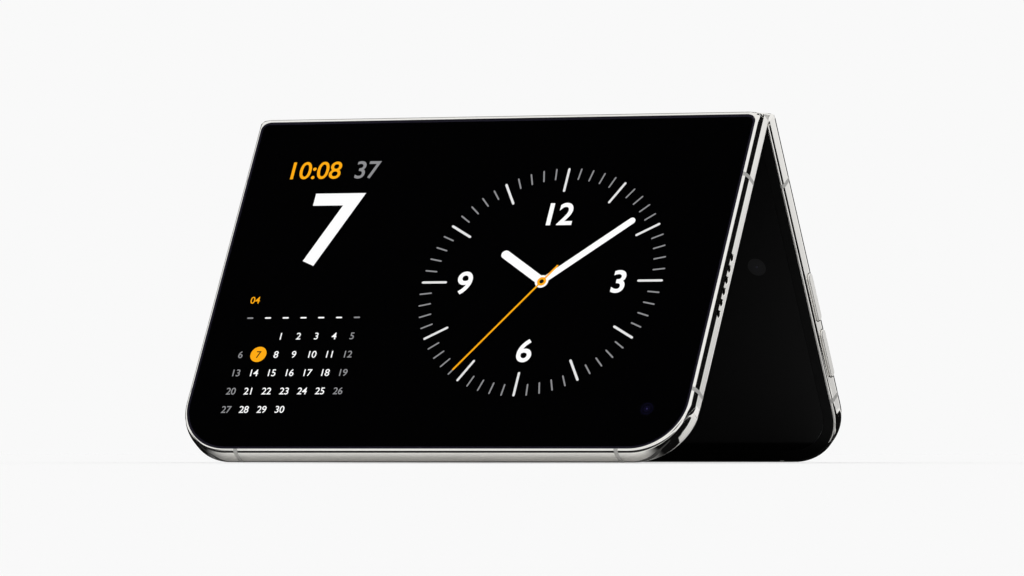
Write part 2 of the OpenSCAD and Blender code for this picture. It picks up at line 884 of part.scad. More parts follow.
module camera_flash() {
    color("lemonchiffon") in_rear_half() plateau_at(glass_z0)
        at_flash() cylinder(r = flash_r, h = half_t + plateau_rise - glass_z0);
}

module inner_camera() {
    side = inner_camera_r + housing_wall;
    color("darkslategray") in_rear_half() translate([inner_cam_x, inner_cam_y, 0]) {
        translate([0, 0, film_z1]) cylinder(r = inner_camera_r, h = mid_z1 - film_z1);
        box(-side, side, -side, side, mid_z1, glass_z0 - gap);
    }
}

module rear_battery() {
    color("darkslateblue") in_rear_half()
        box(bottom_x, battery_x, bay_y0, rear_battery_y, mid_z1, mid_z1 + battery_t);
}

module charging_coil() {
    color("peru") in_rear_half()
        translate([(bottom_x + battery_x) / 2, half_h / 2, mid_z1 + battery_t]) difference() {
            cylinder(d = coil_d, h = glass_z0 - mid_z1 - battery_t - gap);
            translate([0, 0, -over]) cylinder(d = coil_d - 2 * coil_w, h = half_t);
        }
}

module main_board() {
    side = inner_camera_r + housing_wall + gap;
    bay_side = plateau_cx - plateau_w / 2 - gap;
    color("darkgreen") in_rear_half() difference() {
        box(board_x0, board_x1, bay_y0, rear_battery_y, mid_z1, mid_z1 + board_t);
        box(bay_side, board_x1 + over, camera_bay_y, half_h, 0, half_t);
        translate([inner_cam_x, inner_cam_y, 0]) box(-side, side, -side, side, 0, half_t);
    }
}

module board_shields() {
    x1 = plateau_cx - plateau_w / 2 - shield_margin;
    y0 = bay_y0 + shield_margin;
    l = (rear_battery_y - bay_y0 - 3 * shield_margin) / 2;
    color("silver") in_rear_half() for (y = [y0, y0 + l + shield_margin])
        box(board_x0 + shield_margin / 2, x1, y, y + l,
            mid_z1 + board_t, mid_z1 + board_t + shield_t);
}

module haptic_motor() {
    color("slategray") in_rear_half() box(-bay_x + bay_margin, -bay_x + speaker_d,
        bay_y0, bay_y0 + haptic_l, mid_z1, glass_z0 - gap);
}

module bottom_speaker() {
    color("slategray") in_rear_half() mirror([1, 0, 0])
        speaker_box(speaker_y, glass_z0 - gap);
}

module bottom_speaker_mesh() {
    color("dimgray") in_rear_half() mirror([1, 0, 0]) grille_mesh(speaker_y);
}

// The port's shell fills its opening in the frame
module port_room() {
    on_side(port_y) translate([-port_l / 2, 0, 0]) along_x(port_l + over + 2 * port_recess)
        pill(port_w + 2 * port_wall, port_h + 2 * port_wall);
}

module port_shell() {
    color("gray") in_rear_half() mirror([1, 0, 0]) on_side(port_y)
        translate([-port_l / 2 - port_recess, 0, 0]) difference() {
            along_x(port_l) pill(port_w + 2 * port_wall, port_h + 2 * port_wall);
            translate([port_wall, 0, 0]) along_x(port_l) pill(port_w, port_h);
        }
}

module port_tongue() {
    color("dimgray") in_rear_half() mirror([1, 0, 0]) on_side(port_y)
        box(-port_l - port_recess + port_wall, -tongue_recess, -tongue_w / 2, tongue_w / 2,
            -tongue_t / 2, tongue_t / 2);
}

// A switch behind each button, standing on the mid plate
module switch() {
    x1 = -rail_w - button_travel - side_fit;
    box(x1 - switch_t, x1, -switch_l / 2, switch_l / 2, mid_z1 - side_z,
        mid_z1 - side_z + switch_h);
}

module side_switches() {
    color("silver") in_rear_half() {
        on_side(up_y) switch();
        on_side(down_y) switch();
        on_free_edge(power_x) switch();
    }
}

module rear_magnets() {
    color("silver") in_rear_half() magnets();
}

module rear_support_plate() {
    color("lightsteelblue") in_rear_half() difference() {
        support_plate();
        translate([inner_cam_x, inner_cam_y, 0])
            cylinder(r = inner_camera_r + gap, h = half_t);
    }
}

module rear_inner_bezel() {
    color("dimgray") in_rear_half() inner_bezel();
}

module rear_inner_display() {
    color("black") in_rear_half() inner_display();
}

module rear_hinge_arms() {
    color("lightslategray") {
        in_rear_half() arm_bodies();
        sector_gears(1, rear_gear_phase);
    }
}

module rear_arm_screws() {
    color("gray") in_rear_half() arm_screws();
}

module volume_up_button() {
    in_rear_half() on_side(up_y) button(volume_l);
}

module volume_down_button() {
    in_rear_half() on_side(down_y) button(volume_l);
}

module power_button() {
    in_rear_half() on_free_edge(power_x) button(power_l);
}

// ---- spine ----

// Section of the spine: a round about each axis and all between them, above z0
module spine_section(r, z0) {
    intersection() {
        union() {
            for (s = [-1, 1]) translate([s * axis_gap / 2, 0]) circle(r);
            square([axis_gap, 2 * r], center = true);
        }
        translate([-axis_gap - r, z0]) square([2 * (axis_gap + r), 2 * r + over]);
    }
}

module spine_cover() {
    color("silver") in_spine() along_x(cover_l) difference() {
        spine_section(spine_r, cover_edge);
        spine_section(spine_r - spine_wall, cover_edge - over);
    }
}

module spine_end_caps() {
    color("darkgray") in_spine() both_sides() {
        translate([(spine_l - cap_t) / 2, 0, 0]) along_x(cap_t)
            spine_section(spine_r, -spine_depth);
        translate([(cover_l - spigot_l) / 2, 0, 0]) along_x(spigot_l)
            spine_section(spine_r - spine_wall, cover_edge);
    }
}

// Two ears and a bridge that hold the pins of a hinge unit under the cover
module hinge_brackets() {
    r = spine_r - spine_wall;
    bridge_z = idler_z + idler_pin_r;
    window = gear_w + 4 * side_fit;
    window_y = idler_y + idler_pitch_r + addendum + gap;
    color("slategray") in_spine() at_units() difference() {
        union() {
            for (s = [-1, 1]) translate([s * (unit_w - ear_t) / 2, 0, 0]) along_x(ear_t)
                spine_section(r, -spine_depth);
            along_x(unit_w) spine_section(r, bridge_z);
        }
        box(-window / 2, window / 2, -window_y, window_y, 0, spine_r);
        for (s = [-1, 1]) {
            translate([0, s * axis_gap / 2, 0]) along_x(2 * unit_w) circle(pin_r);
            translate([0, s * idler_y, idler_z]) along_x(2 * unit_w) circle(idler_pin_r);
        }
    }
}

module pins(y, z, r) {
    in_spine() at_units() translate([0, y, z]) along_x(unit_w) circle(r);
}

module front_hinge_pins() {
    color("gray") pins(-axis_gap / 2, 0, pin_r);
}

module rear_hinge_pins() {
    color("gray") pins(axis_gap / 2, 0, pin_r);
}

module idler_pins() {
    color("gray") {
        pins(-idler_y, idler_z, idler_pin_r);
        pins(idler_y, idler_z, idler_pin_r);
    }
}

// Disc springs at both ends of each barrel, which hold the halves where they are put
module friction_washers() {
    color("darkgray") in_spine() at_units() for (side = [-1, 1], end = [-1, 1])
        translate([end * (barrel_l + washer_t + 2 * side_fit) / 2, side * axis_gap / 2, 0])
            along_x(washer_t) difference() {
                circle(barrel_r);
                circle(pin_r);
            }
}

module front_idler_gears() {
    color("goldenrod") idler_gears(-1, front_idler_phase);
}

module rear_idler_gears() {
    color("goldenrod") idler_gears(1, rear_idler_phase);
}

// The stretch of display that bends between the halves
module inner_display_fold() {
    steps = 14;
    outside = strip_side(pivot_z - film_z0, steps);
    inside = strip_side(pivot_z - film_z1, steps);
    color("black") in_spine() along_x(spine_l - 2 * seat_fit)
        polygon(concat(outside, reversed(inside)));
}

// Flat cable between the boards, behind the bending display, and its connectors
module hinge_flex_cable() {
    steps = 14;
    far = cable_y1 + open_gap / 2;
    lower = cable_side(cable_top, far, steps);
    upper = cable_side(cable_top - cable_t, far, steps);
    z0 = pivot_z - cable_top;
    color("saddlebrown") {
        in_spine() translate([cable_x, 0, 0]) along_x(cable_w)
            polygon(concat(lower, reversed(upper)));
        in_front_half() cable_connector(z0);
        in_rear_half() cable_connector(z0);
    }
}

function cable_side(depth, far, steps) =
    concat([bent(far, depth, -1)], strip_side(depth, steps), [bent(far, depth, 1)]);

module cable_connector(z0) {
    box(cable_x - cable_w / 2, cable_x + cable_w / 2, cable_y1 - cable_end_l, cable_y1,
        z0, mid_z1);
}

front_frame();
front_antenna_breaks();
cover_glass();
cover_display_panel();
cover_camera();
cover_camera_lens();
front_speaker();
front_speaker_mesh();
front_battery();
front_board();
front_magnets();
front_support_plate();
front_inner_bezel();
front_inner_display();
front_hinge_arms();
front_arm_screws();
rear_frame();
rear_antenna_breaks();
back_cover();
camera_plateau();
camera_rings();
camera_lens_glasses();
main_camera();
wide_camera();
camera_flash();
inner_camera();
rear_battery();
charging_coil();
main_board();
board_shields();
haptic_motor();
bottom_speaker();
bottom_speaker_mesh();
port_shell();
port_tongue();
side_switches();
rear_magnets();
rear_support_plate();
rear_inner_bezel();
rear_inner_display();
rear_hinge_arms();
rear_arm_screws();
volume_up_button();
volume_down_button();
power_button();
spine_cover();
spine_end_caps();
hinge_brackets();
front_hinge_pins();
rear_hinge_pins();
friction_washers();
idler_pins();
front_idler_gears();
rear_idler_gears();
inner_display_fold();
hinge_flex_cable();
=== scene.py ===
"""Looks of a book-style folding phone that stands like a tent on its free edges.

Sizes are in millimetres. Each half is drawn lying on its inner face: x along the hinge,
y from the hinge-side end to the free edge, z from the inner face to the outer face, and
Half.place folds the drawing to where the half stands. The spine is drawn about the
middle of the two hinge axes.
"""

import sys

import json
import logging
import math
from dataclasses import dataclass, field
from enum import Enum
from typing import Any, Callable, Iterable, Sequence

import bmesh
import bpy
from mathutils import Matrix, Vector


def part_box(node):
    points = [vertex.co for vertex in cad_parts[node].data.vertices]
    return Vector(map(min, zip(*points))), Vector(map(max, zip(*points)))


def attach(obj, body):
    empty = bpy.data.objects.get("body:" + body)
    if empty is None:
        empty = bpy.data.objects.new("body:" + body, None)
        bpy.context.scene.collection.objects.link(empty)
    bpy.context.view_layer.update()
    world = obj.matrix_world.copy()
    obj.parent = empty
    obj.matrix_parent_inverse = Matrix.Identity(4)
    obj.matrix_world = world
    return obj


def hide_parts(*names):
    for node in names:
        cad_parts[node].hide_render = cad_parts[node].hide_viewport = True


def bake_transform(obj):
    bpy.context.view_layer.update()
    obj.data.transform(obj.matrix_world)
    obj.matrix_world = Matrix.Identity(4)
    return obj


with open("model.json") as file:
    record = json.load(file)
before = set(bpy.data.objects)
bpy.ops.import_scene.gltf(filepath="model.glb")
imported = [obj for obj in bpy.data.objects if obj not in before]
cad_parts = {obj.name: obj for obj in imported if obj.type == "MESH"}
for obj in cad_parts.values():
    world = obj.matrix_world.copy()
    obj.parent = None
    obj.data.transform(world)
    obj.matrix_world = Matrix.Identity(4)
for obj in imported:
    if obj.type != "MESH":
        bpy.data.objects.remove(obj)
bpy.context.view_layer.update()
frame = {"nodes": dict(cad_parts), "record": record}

MM = 0.001                   # a millimetre, in the frame's metres
SHARP = math.radians(32)     # faces that meet at more than this are shaded as an edge
CORNER = math.radians(40)    # faces that meet at more than this make a corner
CLOSE = 1e-4                 # millimetres within which two places are one
WELD = 0.0005                # millimetres within which a carving's points are joined
OVER = 1.0                   # millimetres by which a tool reaches past what it cuts
FACING = 0.9                 # share of a normal from which a face points along an axis
RIM_AREA = 1e-4              # square metres; a cover glass's smaller faces are its rim
NOISE_MEAN = 0.5             # middle of the noise texture's values
log = logging.getLogger("phone")

Point = tuple[float, float]
Colour = tuple[float, float, float]
BLACK: Colour = (0.0, 0.0, 0.0)


# ---------------------------------------------------------------- shader maths


class Value:
    """A shader socket that Python's operators work on."""

    def __init__(self, shader: "Shader", socket: bpy.types.NodeSocket) -> None:
        """Wraps a socket of a shader's tree."""
        self.shader = shader
        self.socket = socket

    def _math(self, operation: str, *values: Any) -> "Value":
        """Adds a Math node of that operation on the values."""
        return self.shader.node("ShaderNodeMath", {"operation": operation}, *values)

    def __add__(self, other: Any) -> "Value":
        """self + other."""
        return self._math("ADD", self, other)

    def __sub__(self, other: Any) -> "Value":
        """self - other."""
        return self._math("SUBTRACT", self, other)

    def __rsub__(self, other: Any) -> "Value":
        """other - self."""
        return self._math("SUBTRACT", other, self)

    def __mul__(self, other: Any) -> "Value":
        """self * other."""
        return self._math("MULTIPLY", self, other)

    def __truediv__(self, other: Any) -> "Value":
        """self / other."""
        return self._math("DIVIDE", self, other)

    __radd__ = __add__
    __rmul__ = __mul__

    def below(self, other: Any) -> "Value":
        """1 where self is less than other, else 0."""
        return self._math("LESS_THAN", self, other)

    def sine(self) -> "Value":
        """The sine of self, in radians."""
        return self._math("SINE", self)

    def smooth(self, low: float, high: float) -> "Value":
        """A smooth step from 0 at low to 1 at high."""
        settings = {"interpolation_type": "SMOOTHSTEP"}
        return self.shader.node("ShaderNodeMapRange", settings, self, low, high, 0.0, 1.0)

    def window(self, low: float, high: float, soft: float) -> "Value":
        """1 between low and high, falling to 0 over soft on either side.

        Args:
            low: Lower side of the window.
            high: Upper side of the window.
            soft: Width of the two soft sides.

        Returns:
            The window's value.
        """
        return self.smooth(low - soft, low + soft) * (1 - self.smooth(high - soft, high + soft))


class Shader:
    """A node tree, with short ways to add nodes to it."""

    def __init__(self, tree: bpy.types.NodeTree) -> None:
        """Empties the tree."""
        self.tree = tree
        tree.nodes.clear()

    def node(self, kind: str, settings: dict[str, Any] | None = None, *values: Any,
             out: str | int = 0, **named: Any) -> Value:
        """Adds a node.

        Args:
            kind: Type of the node.
            settings: Its own properties.
            *values: Values or links of its first sockets; None leaves one as it is.
            out: Name or place of the output to return.
            **named: Values or links by socket name, with _ for a space.

        Returns:
            The chosen output.
        """
        node = self.tree.nodes.new(kind)
        for key, value in (settings or {}).items():
            setattr(node, key, value)
        for socket, value in zip(node.inputs, values):
            self._feed(socket, value)
        for key, value in named.items():
            self._feed(node.inputs[key.replace("_", " ")], value)
        return Value(self, node.outputs[out]) if node.outputs else Value(self, None)

    def _feed(self, socket: bpy.types.NodeSocket, value: Any) -> None:
        """Links a value to a socket, or sets the socket to it.

        Args:
            socket: The socket.
            value: A link, a plain value, or None to leave the socket as it is.
        """
        if isinstance(value, Value):
            self.tree.links.new(value.socket, socket)
        elif value is not None:
            if socket.type == "RGBA" and len(value) == 3:
                value = (*value, 1.0)
            socket.default_value = value

    def point(self, scale: Sequence[float] = (1, 1, 1), turn: float = 0.0) -> Value:
        """The object's own coordinates in millimetres, scaled and turned about X.

        Args:
            scale: Factors on x, y and z after the turn.
            turn: Angle about X, in degrees, that lays a half's drawing flat.

        Returns:
            A vector.
        """
        coordinates = self.node("ShaderNodeTexCoord", out="Object")
        laid = self.node("ShaderNodeMapping", {"vector_type": "POINT"}, coordinates,
                         Rotation=(math.radians(turn), 0, 0),
                         Scale=(1 / MM,) * 3)
        return self.node("ShaderNodeMapping", {"vector_type": "POINT"}, laid, Scale=tuple(scale))

    def distance(self, centre: Sequence[float]) -> Value:
        """The distance from a place of the frame.

        Args:
            centre: The place, in metres.

        Returns:
            The distance, in metres.
        """
        coordinates = self.node("ShaderNodeTexCoord", out="Object")
        return self.node("ShaderNodeVectorMath", {"operation": "DISTANCE"}, coordinates, centre,
                         out="Value")

    def axis(self, at: Value, name: str) -> Value:
        """A vector's coordinate on the axis X, Y or Z."""
        return self.node("ShaderNodeSeparateXYZ", None, at, out=name)

    def noise(self, at: Value, scale: float, detail: float = 3.0) -> Value:
        """Fractal noise of about one bump per 1 / scale millimetres."""
        return self.node("ShaderNodeTexNoise", None, at, Scale=scale, Detail=detail)

    def blend(self, share: Any, first: Any, second: Any) -> Value:
        """A mix of two colours.

        Args:
            share: Share of the second colour, from 0 to 1.
            first: Colour at a share of 0.
            second: Colour at a share of 1.

        Returns:
            The mixed colour.
        """
        node = self.tree.nodes.new("ShaderNodeMix")
        node.data_type = "RGBA"
        for name, value in (("Factor_Float", share), ("A_Color", first), ("B_Color", second)):
            self._feed(next(s for s in node.inputs if s.identifier == name), value)
        return Value(self, next(s for s in node.outputs if s.identifier == "Result_Color"))

    def bump(self, height: Value, strength: float, distance: float) -> Value:
        """A normal from a height, with the distance in millimetres."""
        return self.node("ShaderNodeBump", None, Strength=strength, Distance=distance * MM,
                         Height=height)


def new_material(name: str) -> tuple[bpy.types.Material, Shader]:
    """A new material whose node tree is empty.

    Args:
        name: Its name.

    Returns:
        The material, and the shader of its tree.
    """
    material = bpy.data.materials.new(name)
    material.use_nodes = True
    return material, Shader(material.node_tree)


# ---------------------------------------------------------------- finishes


def tinted(colour: Colour, factor: float) -> Colour:
    """The colour times a factor."""
    return tuple(factor * c for c in colour)


@dataclass(frozen=True)
class Finish:
    """What all finishes share: a name, a colour and how rough the surface is."""

    name: str
    colour: Colour
    roughness: float = 0.4

    def material(self) -> bpy.types.Material:
        """The finish's material, made once.

        Returns:
            The material.
        """
        name = f"finish_{self.name}"
        if name in bpy.data.materials:
            return bpy.data.materials[name]
        material, shader = new_material(name)
        sockets = {"Base_Color": self.colour, "Roughness": self.roughness}
        sockets.update(self.sockets(shader))
        surface = shader.node("ShaderNodeBsdfPrincipled", None, **sockets)
        shader.node("ShaderNodeOutputMaterial", None, Surface=surface)
        material.diffuse_color = (*self.colour, 1.0)
        return material

    def sockets(self, shader: Shader) -> dict[str, Any]:
        """What this kind of finish gives the surface's sockets."""
        return {}


@dataclass(frozen=True)
class Metal(Finish):
    """Bare metal: polished, brushed along X, or blasted."""

    grain: float = 0.0
    along: Sequence[float] = (1.0, 1.0, 1.0)
    mottle: float = 0.02
    relief: float = 0.0
    cloud_scale: float = 0.15
    grain_scale: float = 6.0
    grain_detail: float = 4.0
    strength: float = 0.5

    def sockets(self, shader: Shader) -> dict[str, Any]:
        """Metal with faint clouds in its colour and grain in its roughness.

        Args:
            shader: The material's shader.

        Returns:
            Values and links by socket name, with _ for a space.
        """
        clouds = shader.noise(shader.point(), self.cloud_scale)
        grain = shader.noise(shader.point(self.along), self.grain_scale, self.grain_detail)
        result = {
            "Metallic": 1.0,
            "Base_Color": shader.blend(clouds, tinted(self.colour, 1 - 2 * self.mottle),
                                       self.colour),
            "Roughness": (grain - NOISE_MEAN) * self.grain + self.roughness,
        }
        if self.relief:
            result["Normal"] = shader.bump(grain, self.strength, self.relief)
        return result


@dataclass(frozen=True)
class Moulded(Finish):
    """Moulded plastic or rubber with a fine surface texture."""

    pitch: float = 0.12
    relief: float = 0.01
    gloss: float = 0.5
    cloud_scale: float = 0.3
    cloud_gain: float = 1.12
    cloud_lift: float = 0.001
    swing: float = 0.15
    strength: float = 0.6

    def sockets(self, shader: Shader) -> dict[str, Any]:
        """Plastic with a fine spark-eroded texture and clouds in its colour.

        Args:
            shader: The material's shader.

        Returns:
            Values and links by socket name, with _ for a space.
        """
        texture = shader.noise(shader.point(), 1 / self.pitch, 2.0)
        clouds = shader.noise(shader.point(), self.cloud_scale)
        lighter = tuple(min(1.0, c * self.cloud_gain + self.cloud_lift) for c in self.colour)
        return {
            "Base_Color": shader.blend(clouds, self.colour, lighter),
            "Roughness": (texture - NOISE_MEAN) * self.swing + self.roughness,
            "Specular_IOR_Level": self.gloss,
            "Normal": shader.bump(texture, self.strength, self.relief),
        }


@dataclass(frozen=True)
class GlossGlass(Finish):
    """Opaque glass, printed or coated behind a clear gloss face."""

    gloss: float = 0.5
    smear: float = 0.01
    smear_scale: float = 0.12
    smear_detail: float = 5.0
    smear_along: Sequence[float] = (1.0, 0.35, 1.0)

    def sockets(self, shader: Shader) -> dict[str, Any]:
        """Glass with a hint of smears in its gloss.

        Args:
            shader: The material's shader.

        Returns:
            Values and links by socket name, with _ for a space.
        """
        smears = shader.noise(shader.point(self.smear_along), self.smear_scale, self.smear_detail)
        return {
            "Roughness": smears * self.smear + self.roughness,
            "Specular_IOR_Level": self.gloss,
        }


@dataclass(frozen=True)
class FrostedGlass(Finish):
    """Etched glass over a pale print, matte with a fine sparkle."""

    etch_scale: float = 9.0
    relief: float = 0.004
    strength: float = 0.25
    swing: float = 0.2
    cloud_scale: float = 0.02
    shade: float = 0.965
    coat: float = 0.25
    coat_roughness: float = 0.3

    def sockets(self, shader: Shader) -> dict[str, Any]:
        """Etched glass: fine relief and a colour that shifts slightly over the plate.

        Args:
            shader: The material's shader.

        Returns:
            Values and links by socket name, with _ for a space.
        """
        etch = shader.noise(shader.point(), self.etch_scale, 3.0)
        clouds = shader.noise(shader.point(), self.cloud_scale, 2.0)
        return {
            "Base_Color": shader.blend(clouds, tinted(self.colour, self.shade), self.colour),
            "Roughness": (etch - NOISE_MEAN) * self.swing + self.roughness,
            "Normal": shader.bump(etch, self.strength, self.relief),
            "Coat_Weight": self.coat,
            "Coat_Roughness": self.coat_roughness,
        }


@dataclass(frozen=True)
class Lit(Finish):
    """A lit stretch of display."""

    strength: float = 1.0
    pixel_scale: float = 14.0
    dim: float = 0.97
    gloss: float = 0.1

    def sockets(self, shader: Shader) -> dict[str, Any]:
        """Emission with the faint unevenness of a display's pixels.

        Args:
            shader: The material's shader.

        Returns:
            Values and links by socket name, with _ for a space.
        """
        pixels = shader.noise(shader.point(), self.pixel_scale, 1.0)
        return {
            "Base_Color": BLACK,
            "Specular_IOR_Level": self.gloss,
            "Emission_Color": shader.blend(pixels, tinted(self.colour, self.dim), self.colour),
            "Emission_Strength": self.strength,
        }


@dataclass(frozen=True)
class Lens(Finish):
    """A coated camera glass, with painted reflections of its coating as soft lighter rings and a
    painted highlight in its middle.

    Its ranges are shares of the radius.
    """

    centre: tuple[float, float, float] = (0.0, 0.0, 0.0)
    radius: float = 1.0
    # Colour of the painted coating reflections; brightened, also of the painted highlight.
    coating: Colour = (0.05, 0.03, 0.12)
    inner_ring: tuple[float, float, float] = (0.3, 0.42, 0.06)
    outer_ring: tuple[float, float, float] = (0.62, 0.8, 0.08)
    outer_share: float = 0.45
    pupil: Point = (0.05, 0.2)
    pupil_gain: float = 4.0
    coat: float = 0.3
    coat_roughness: float = 0.02
    gloss: float = 0.35

    def sockets(self, shader: Shader) -> dict[str, Any]:
        """A dark glass with its coating's reflections painted as soft rings and a painted
        highlight.

        Args:
            shader: The material's shader.

        Returns:
            Values and links by socket name, with _ for a space.
        """
        distance = shader.distance(self.centre) / (self.radius * MM)
        # Painted reflections of the coating, as soft lighter rings.
        outer = distance.window(*self.outer_ring) * self.outer_share
        rings = distance.window(*self.inner_ring) + outer
        # Painted highlight: a lighter spot in the middle of the glass.
        pupil = 1 - distance.smooth(*self.pupil)
        colour = shader.blend(rings, self.colour, self.coating)
        return {
            "Base_Color": shader.blend(pupil, colour, tinted(self.coating, self.pupil_gain)),
            "Coat_Weight": self.coat,
            "Coat_Roughness": self.coat_roughness,
            "Specular_IOR_Level": self.gloss,
        }


@dataclass(frozen=True)
class Woven(Finish):
    """A woven metal mesh, laid in a half's plane."""

    pitch: float = 0.16
    turn: float = 60.0
    opening: Point = (-0.1, 0.3)
    relief: float = 0.03
    strength: float = 0.8
    gap: Colour = (0.002, 0.002, 0.002)

    def sockets(self, shader: Shader) -> dict[str, Any]:
        """Two sets of wires that cross, with dark openings between them.

        Args:
            shader: The material's shader.

        Returns:
            Values and links by socket name, with _ for a space.
        """
        scale = 2 * math.pi / self.pitch
        at = shader.point(turn=self.turn)
        along, across = (shader.axis(at, name) for name in "YZ")
        wires = (along * scale).sine() * 0.5 + (across * scale).sine() * 0.5
        wire = wires.smooth(*self.opening)
        return {
            "Base_Color": shader.blend(wire, self.gap, self.colour),
            "Metallic": wire,
            "Normal": shader.bump(wire, self.strength, self.relief),
        }


@dataclass(frozen=True)
class Board(Finish):
    """A circuit board with its traces and pads."""

    turn: float = 60.0
    cell_scale: float = 0.45
    pad: Point = (0.14, 0.17)
    gilt: Colour = (0.72, 0.5, 0.2)
    trace_scale: float = 0.5
    trace_count: float = 60.0
    trace: Point = (0.2, 0.6)
    trace_gain: float = 2.2
    relief: float = 0.03
    strength: float = 0.4

    def sockets(self, shader: Shader) -> dict[str, Any]:
        """Solder mask over traces, with small gilt pads.

        Args:
            shader: The material's shader.

        Returns:
            Values and links by socket name, with _ for a space.
        """
        at = shader.point(turn=self.turn)
        cells = shader.node("ShaderNodeTexVoronoi", {"distance": "CHEBYCHEV"}, at,
                            Scale=self.cell_scale, out="Distance")
        waves = shader.noise(at, self.trace_scale, 1.0) * self.trace_count
        traces = waves.sine().smooth(*self.trace)
        pads = 1 - cells.smooth(*self.pad)
        masked = shader.blend(traces, self.colour, tinted(self.colour, self.trace_gain))
        return {
            "Base_Color": shader.blend(pads, masked, self.gilt),
            "Metallic": pads,
            "Normal": shader.bump(traces, self.strength, self.relief),
        }


@dataclass(frozen=True)
class Foil(Finish):
    """A battery's laminated foil pouch."""

    along: Sequence[float] = (1.0, 0.6, 1.0)
    crinkle_scale: float = 0.35
    crinkle_detail: float = 4.0
    metallic: float = 0.6
    swing: float = 0.3
    relief: float = 0.12
    strength: float = 0.5

    def sockets(self, shader: Shader) -> dict[str, Any]:
        """Foil with soft crinkles.

        Args:
            shader: The material's shader.

        Returns:
            Values and links by socket name, with _ for a space.
        """
        crinkles = shader.noise(shader.point(self.along), self.crinkle_scale, self.crinkle_detail)
        return {
            "Metallic": self.metallic,
            "Roughness": crinkles * self.swing + self.roughness,
            "Normal": shader.bump(crinkles, self.strength, self.relief),
        }


@dataclass(frozen=True)
class Wound(Finish):
    """A flat coil of enamelled wire."""

    centre: tuple[float, float, float] = (0.0, 0.0, 0.0)
    pitch: float = 0.9
    gap: Point = (0.0, 0.35)
    shade: float = 0.25
    metallic: float = 0.9
    relief: float = 0.15
    strength: float = 0.8

    def sockets(self, shader: Shader) -> dict[str, Any]:
        """Turns of wire round the coil's middle.

        Args:
            shader: The material's shader.

        Returns:
            Values and links by socket name, with _ for a space.
        """
        turns = shader.distance(self.centre) * (2 * math.pi / (self.pitch * MM))
        wires = turns.sine() * 0.5 + 0.5
        dark = tinted(self.colour, self.shade)
        return {
            "Metallic": self.metallic,
            "Base_Color": shader.blend(wires.smooth(*self.gap), dark, self.colour),
            "Normal": shader.bump(wires, self.strength, self.relief),
        }


WARM_WHITE = (0.9, 0.885, 0.85)
POLISHED = Metal("polished_frame", WARM_WHITE, 0.06, grain=0.02)
BREAK = Moulded("break_plastic", (0.36, 0.355, 0.34), 0.38)
COATED_GLASS = GlossGlass("coated_black_glass", (0.0004, 0.0004, 0.0005), 0.03, gloss=0.5)
# The cover glass's rim, lighter and bluer than its face: a painted glow of light in the glass's
# edge.
GLASS_EDGE_GLOW = GlossGlass("black_glass_edge", (0.012, 0.011, 0.018), 0.05, gloss=0.5)
BACK = FrostedGlass("frosted_back", (0.83, 0.82, 0.8), 0.42)
PLATEAU = Metal("satin_plateau", (0.84, 0.83, 0.81), 0.3, grain=0.1, mottle=0.01, relief=0.003)
FILM = GlossGlass("display_film", (0.0016, 0.0016, 0.0017), 0.12, gloss=0.2, smear=0.03)
BEZEL = Moulded("soft_bezel", (0.002, 0.002, 0.002), 0.35, relief=0.002, gloss=0.12)
SPINE_SATIN = Metal("satin_spine", (0.8, 0.79, 0.775), 0.22, grain=0.1, along=(0.05, 1, 1))
SPINE_CAP = Metal("spine_cap", (0.56, 0.555, 0.545), 0.28, grain=0.08)
RUBBER_BLACK = Moulded("port_plastic", (0.012, 0.012, 0.013), 0.4)
PORT_STEEL = Metal("port_steel", (0.35, 0.345, 0.34), 0.3, grain=0.1)
CAMERA_BLACK = Moulded("camera_housing", (0.008, 0.008, 0.009), 0.3, relief=0.005)
FLASH = Moulded("flash_diffuser", (0.86, 0.83, 0.68), 0.22, pitch=0.3, relief=0.03)
AMBER = Moulded("flex_amber", (0.32, 0.13, 0.03), 0.3, relief=0.003)
WHITE = Lit("lit_white", (1.0, 1.0, 1.0))
SOFT_WHITE = Lit("lit_soft_white", (0.78, 0.78, 0.78))
MID_GREY = Lit("lit_mid_grey", (0.26, 0.26, 0.27))
ORANGE = Lit("lit_orange", (1.0, 0.405, 0.0))
DARK = Lit("unlit", (0.001, 0.001, 0.001), strength=0.0)


# ---------------------------------------------------------------- drawing and solids


def arc(centre: Point, radius: Point | float, start: float, end: float,
        steps: int) -> list[Point]:
    """Points of an arc, its two ends included.

    Args:
        centre: Middle of the circle or ellipse.
        radius: Its radius, or its two half axes.
        start: Angle of the first point, in degrees.
        end: Angle of the last point, in degrees.
        steps: Number of chords.

    Returns:
        The points.
    """
    across, up = radius if isinstance(radius, tuple) else (radius, radius)
    angles = [math.radians(start + (end - start) * i / steps) for i in range(steps + 1)]
    return [(centre[0] + across * math.cos(a), centre[1] + up * math.sin(a)) for a in angles]


def pill(length: float, width: float, steps: int = 12) -> list[Point]:
    """Outline of a bar with round ends, lying along the first axis."""
    reach, r = (length - width) / 2, width / 2
    return arc((reach, 0), r, -90, 90, steps) + arc((-reach, 0), r, 90, 270, steps)


def disc(radius: float, steps: int = 48) -> list[Point]:
    """Outline of a full circle."""
    return arc((0, 0), radius, 0, 360, steps)[:-1]


def move(bm: bmesh.types.BMesh, matrix: Matrix) -> bmesh.types.BMesh:
    """Moves a mesh, and turns its faces over if the move mirrors it.

    Args:
        bm: The mesh.
        matrix: The move.

    Returns:
        The same mesh.
    """
    bm.transform(matrix)
    if matrix.determinant() < 0:
        bmesh.ops.reverse_faces(bm, faces=bm.faces)
    return bm


def flat(points: Iterable[Point], along: str = "Z", at: float = 0.0) -> bmesh.types.BMesh:
    """A mesh of one face.

    Args:
        points: The face's outline.
        along: Axis that the face is square to. Along X the outline's axes are Y and Z.
        at: Place of the face on that axis.

    Returns:
        The mesh.
    """
    bm = bmesh.new()
    places = [(at, a, b) if along == "X" else (a, b, at) for a, b in points]
    bm.faces.new([bm.verts.new(p) for p in places])
    return bm


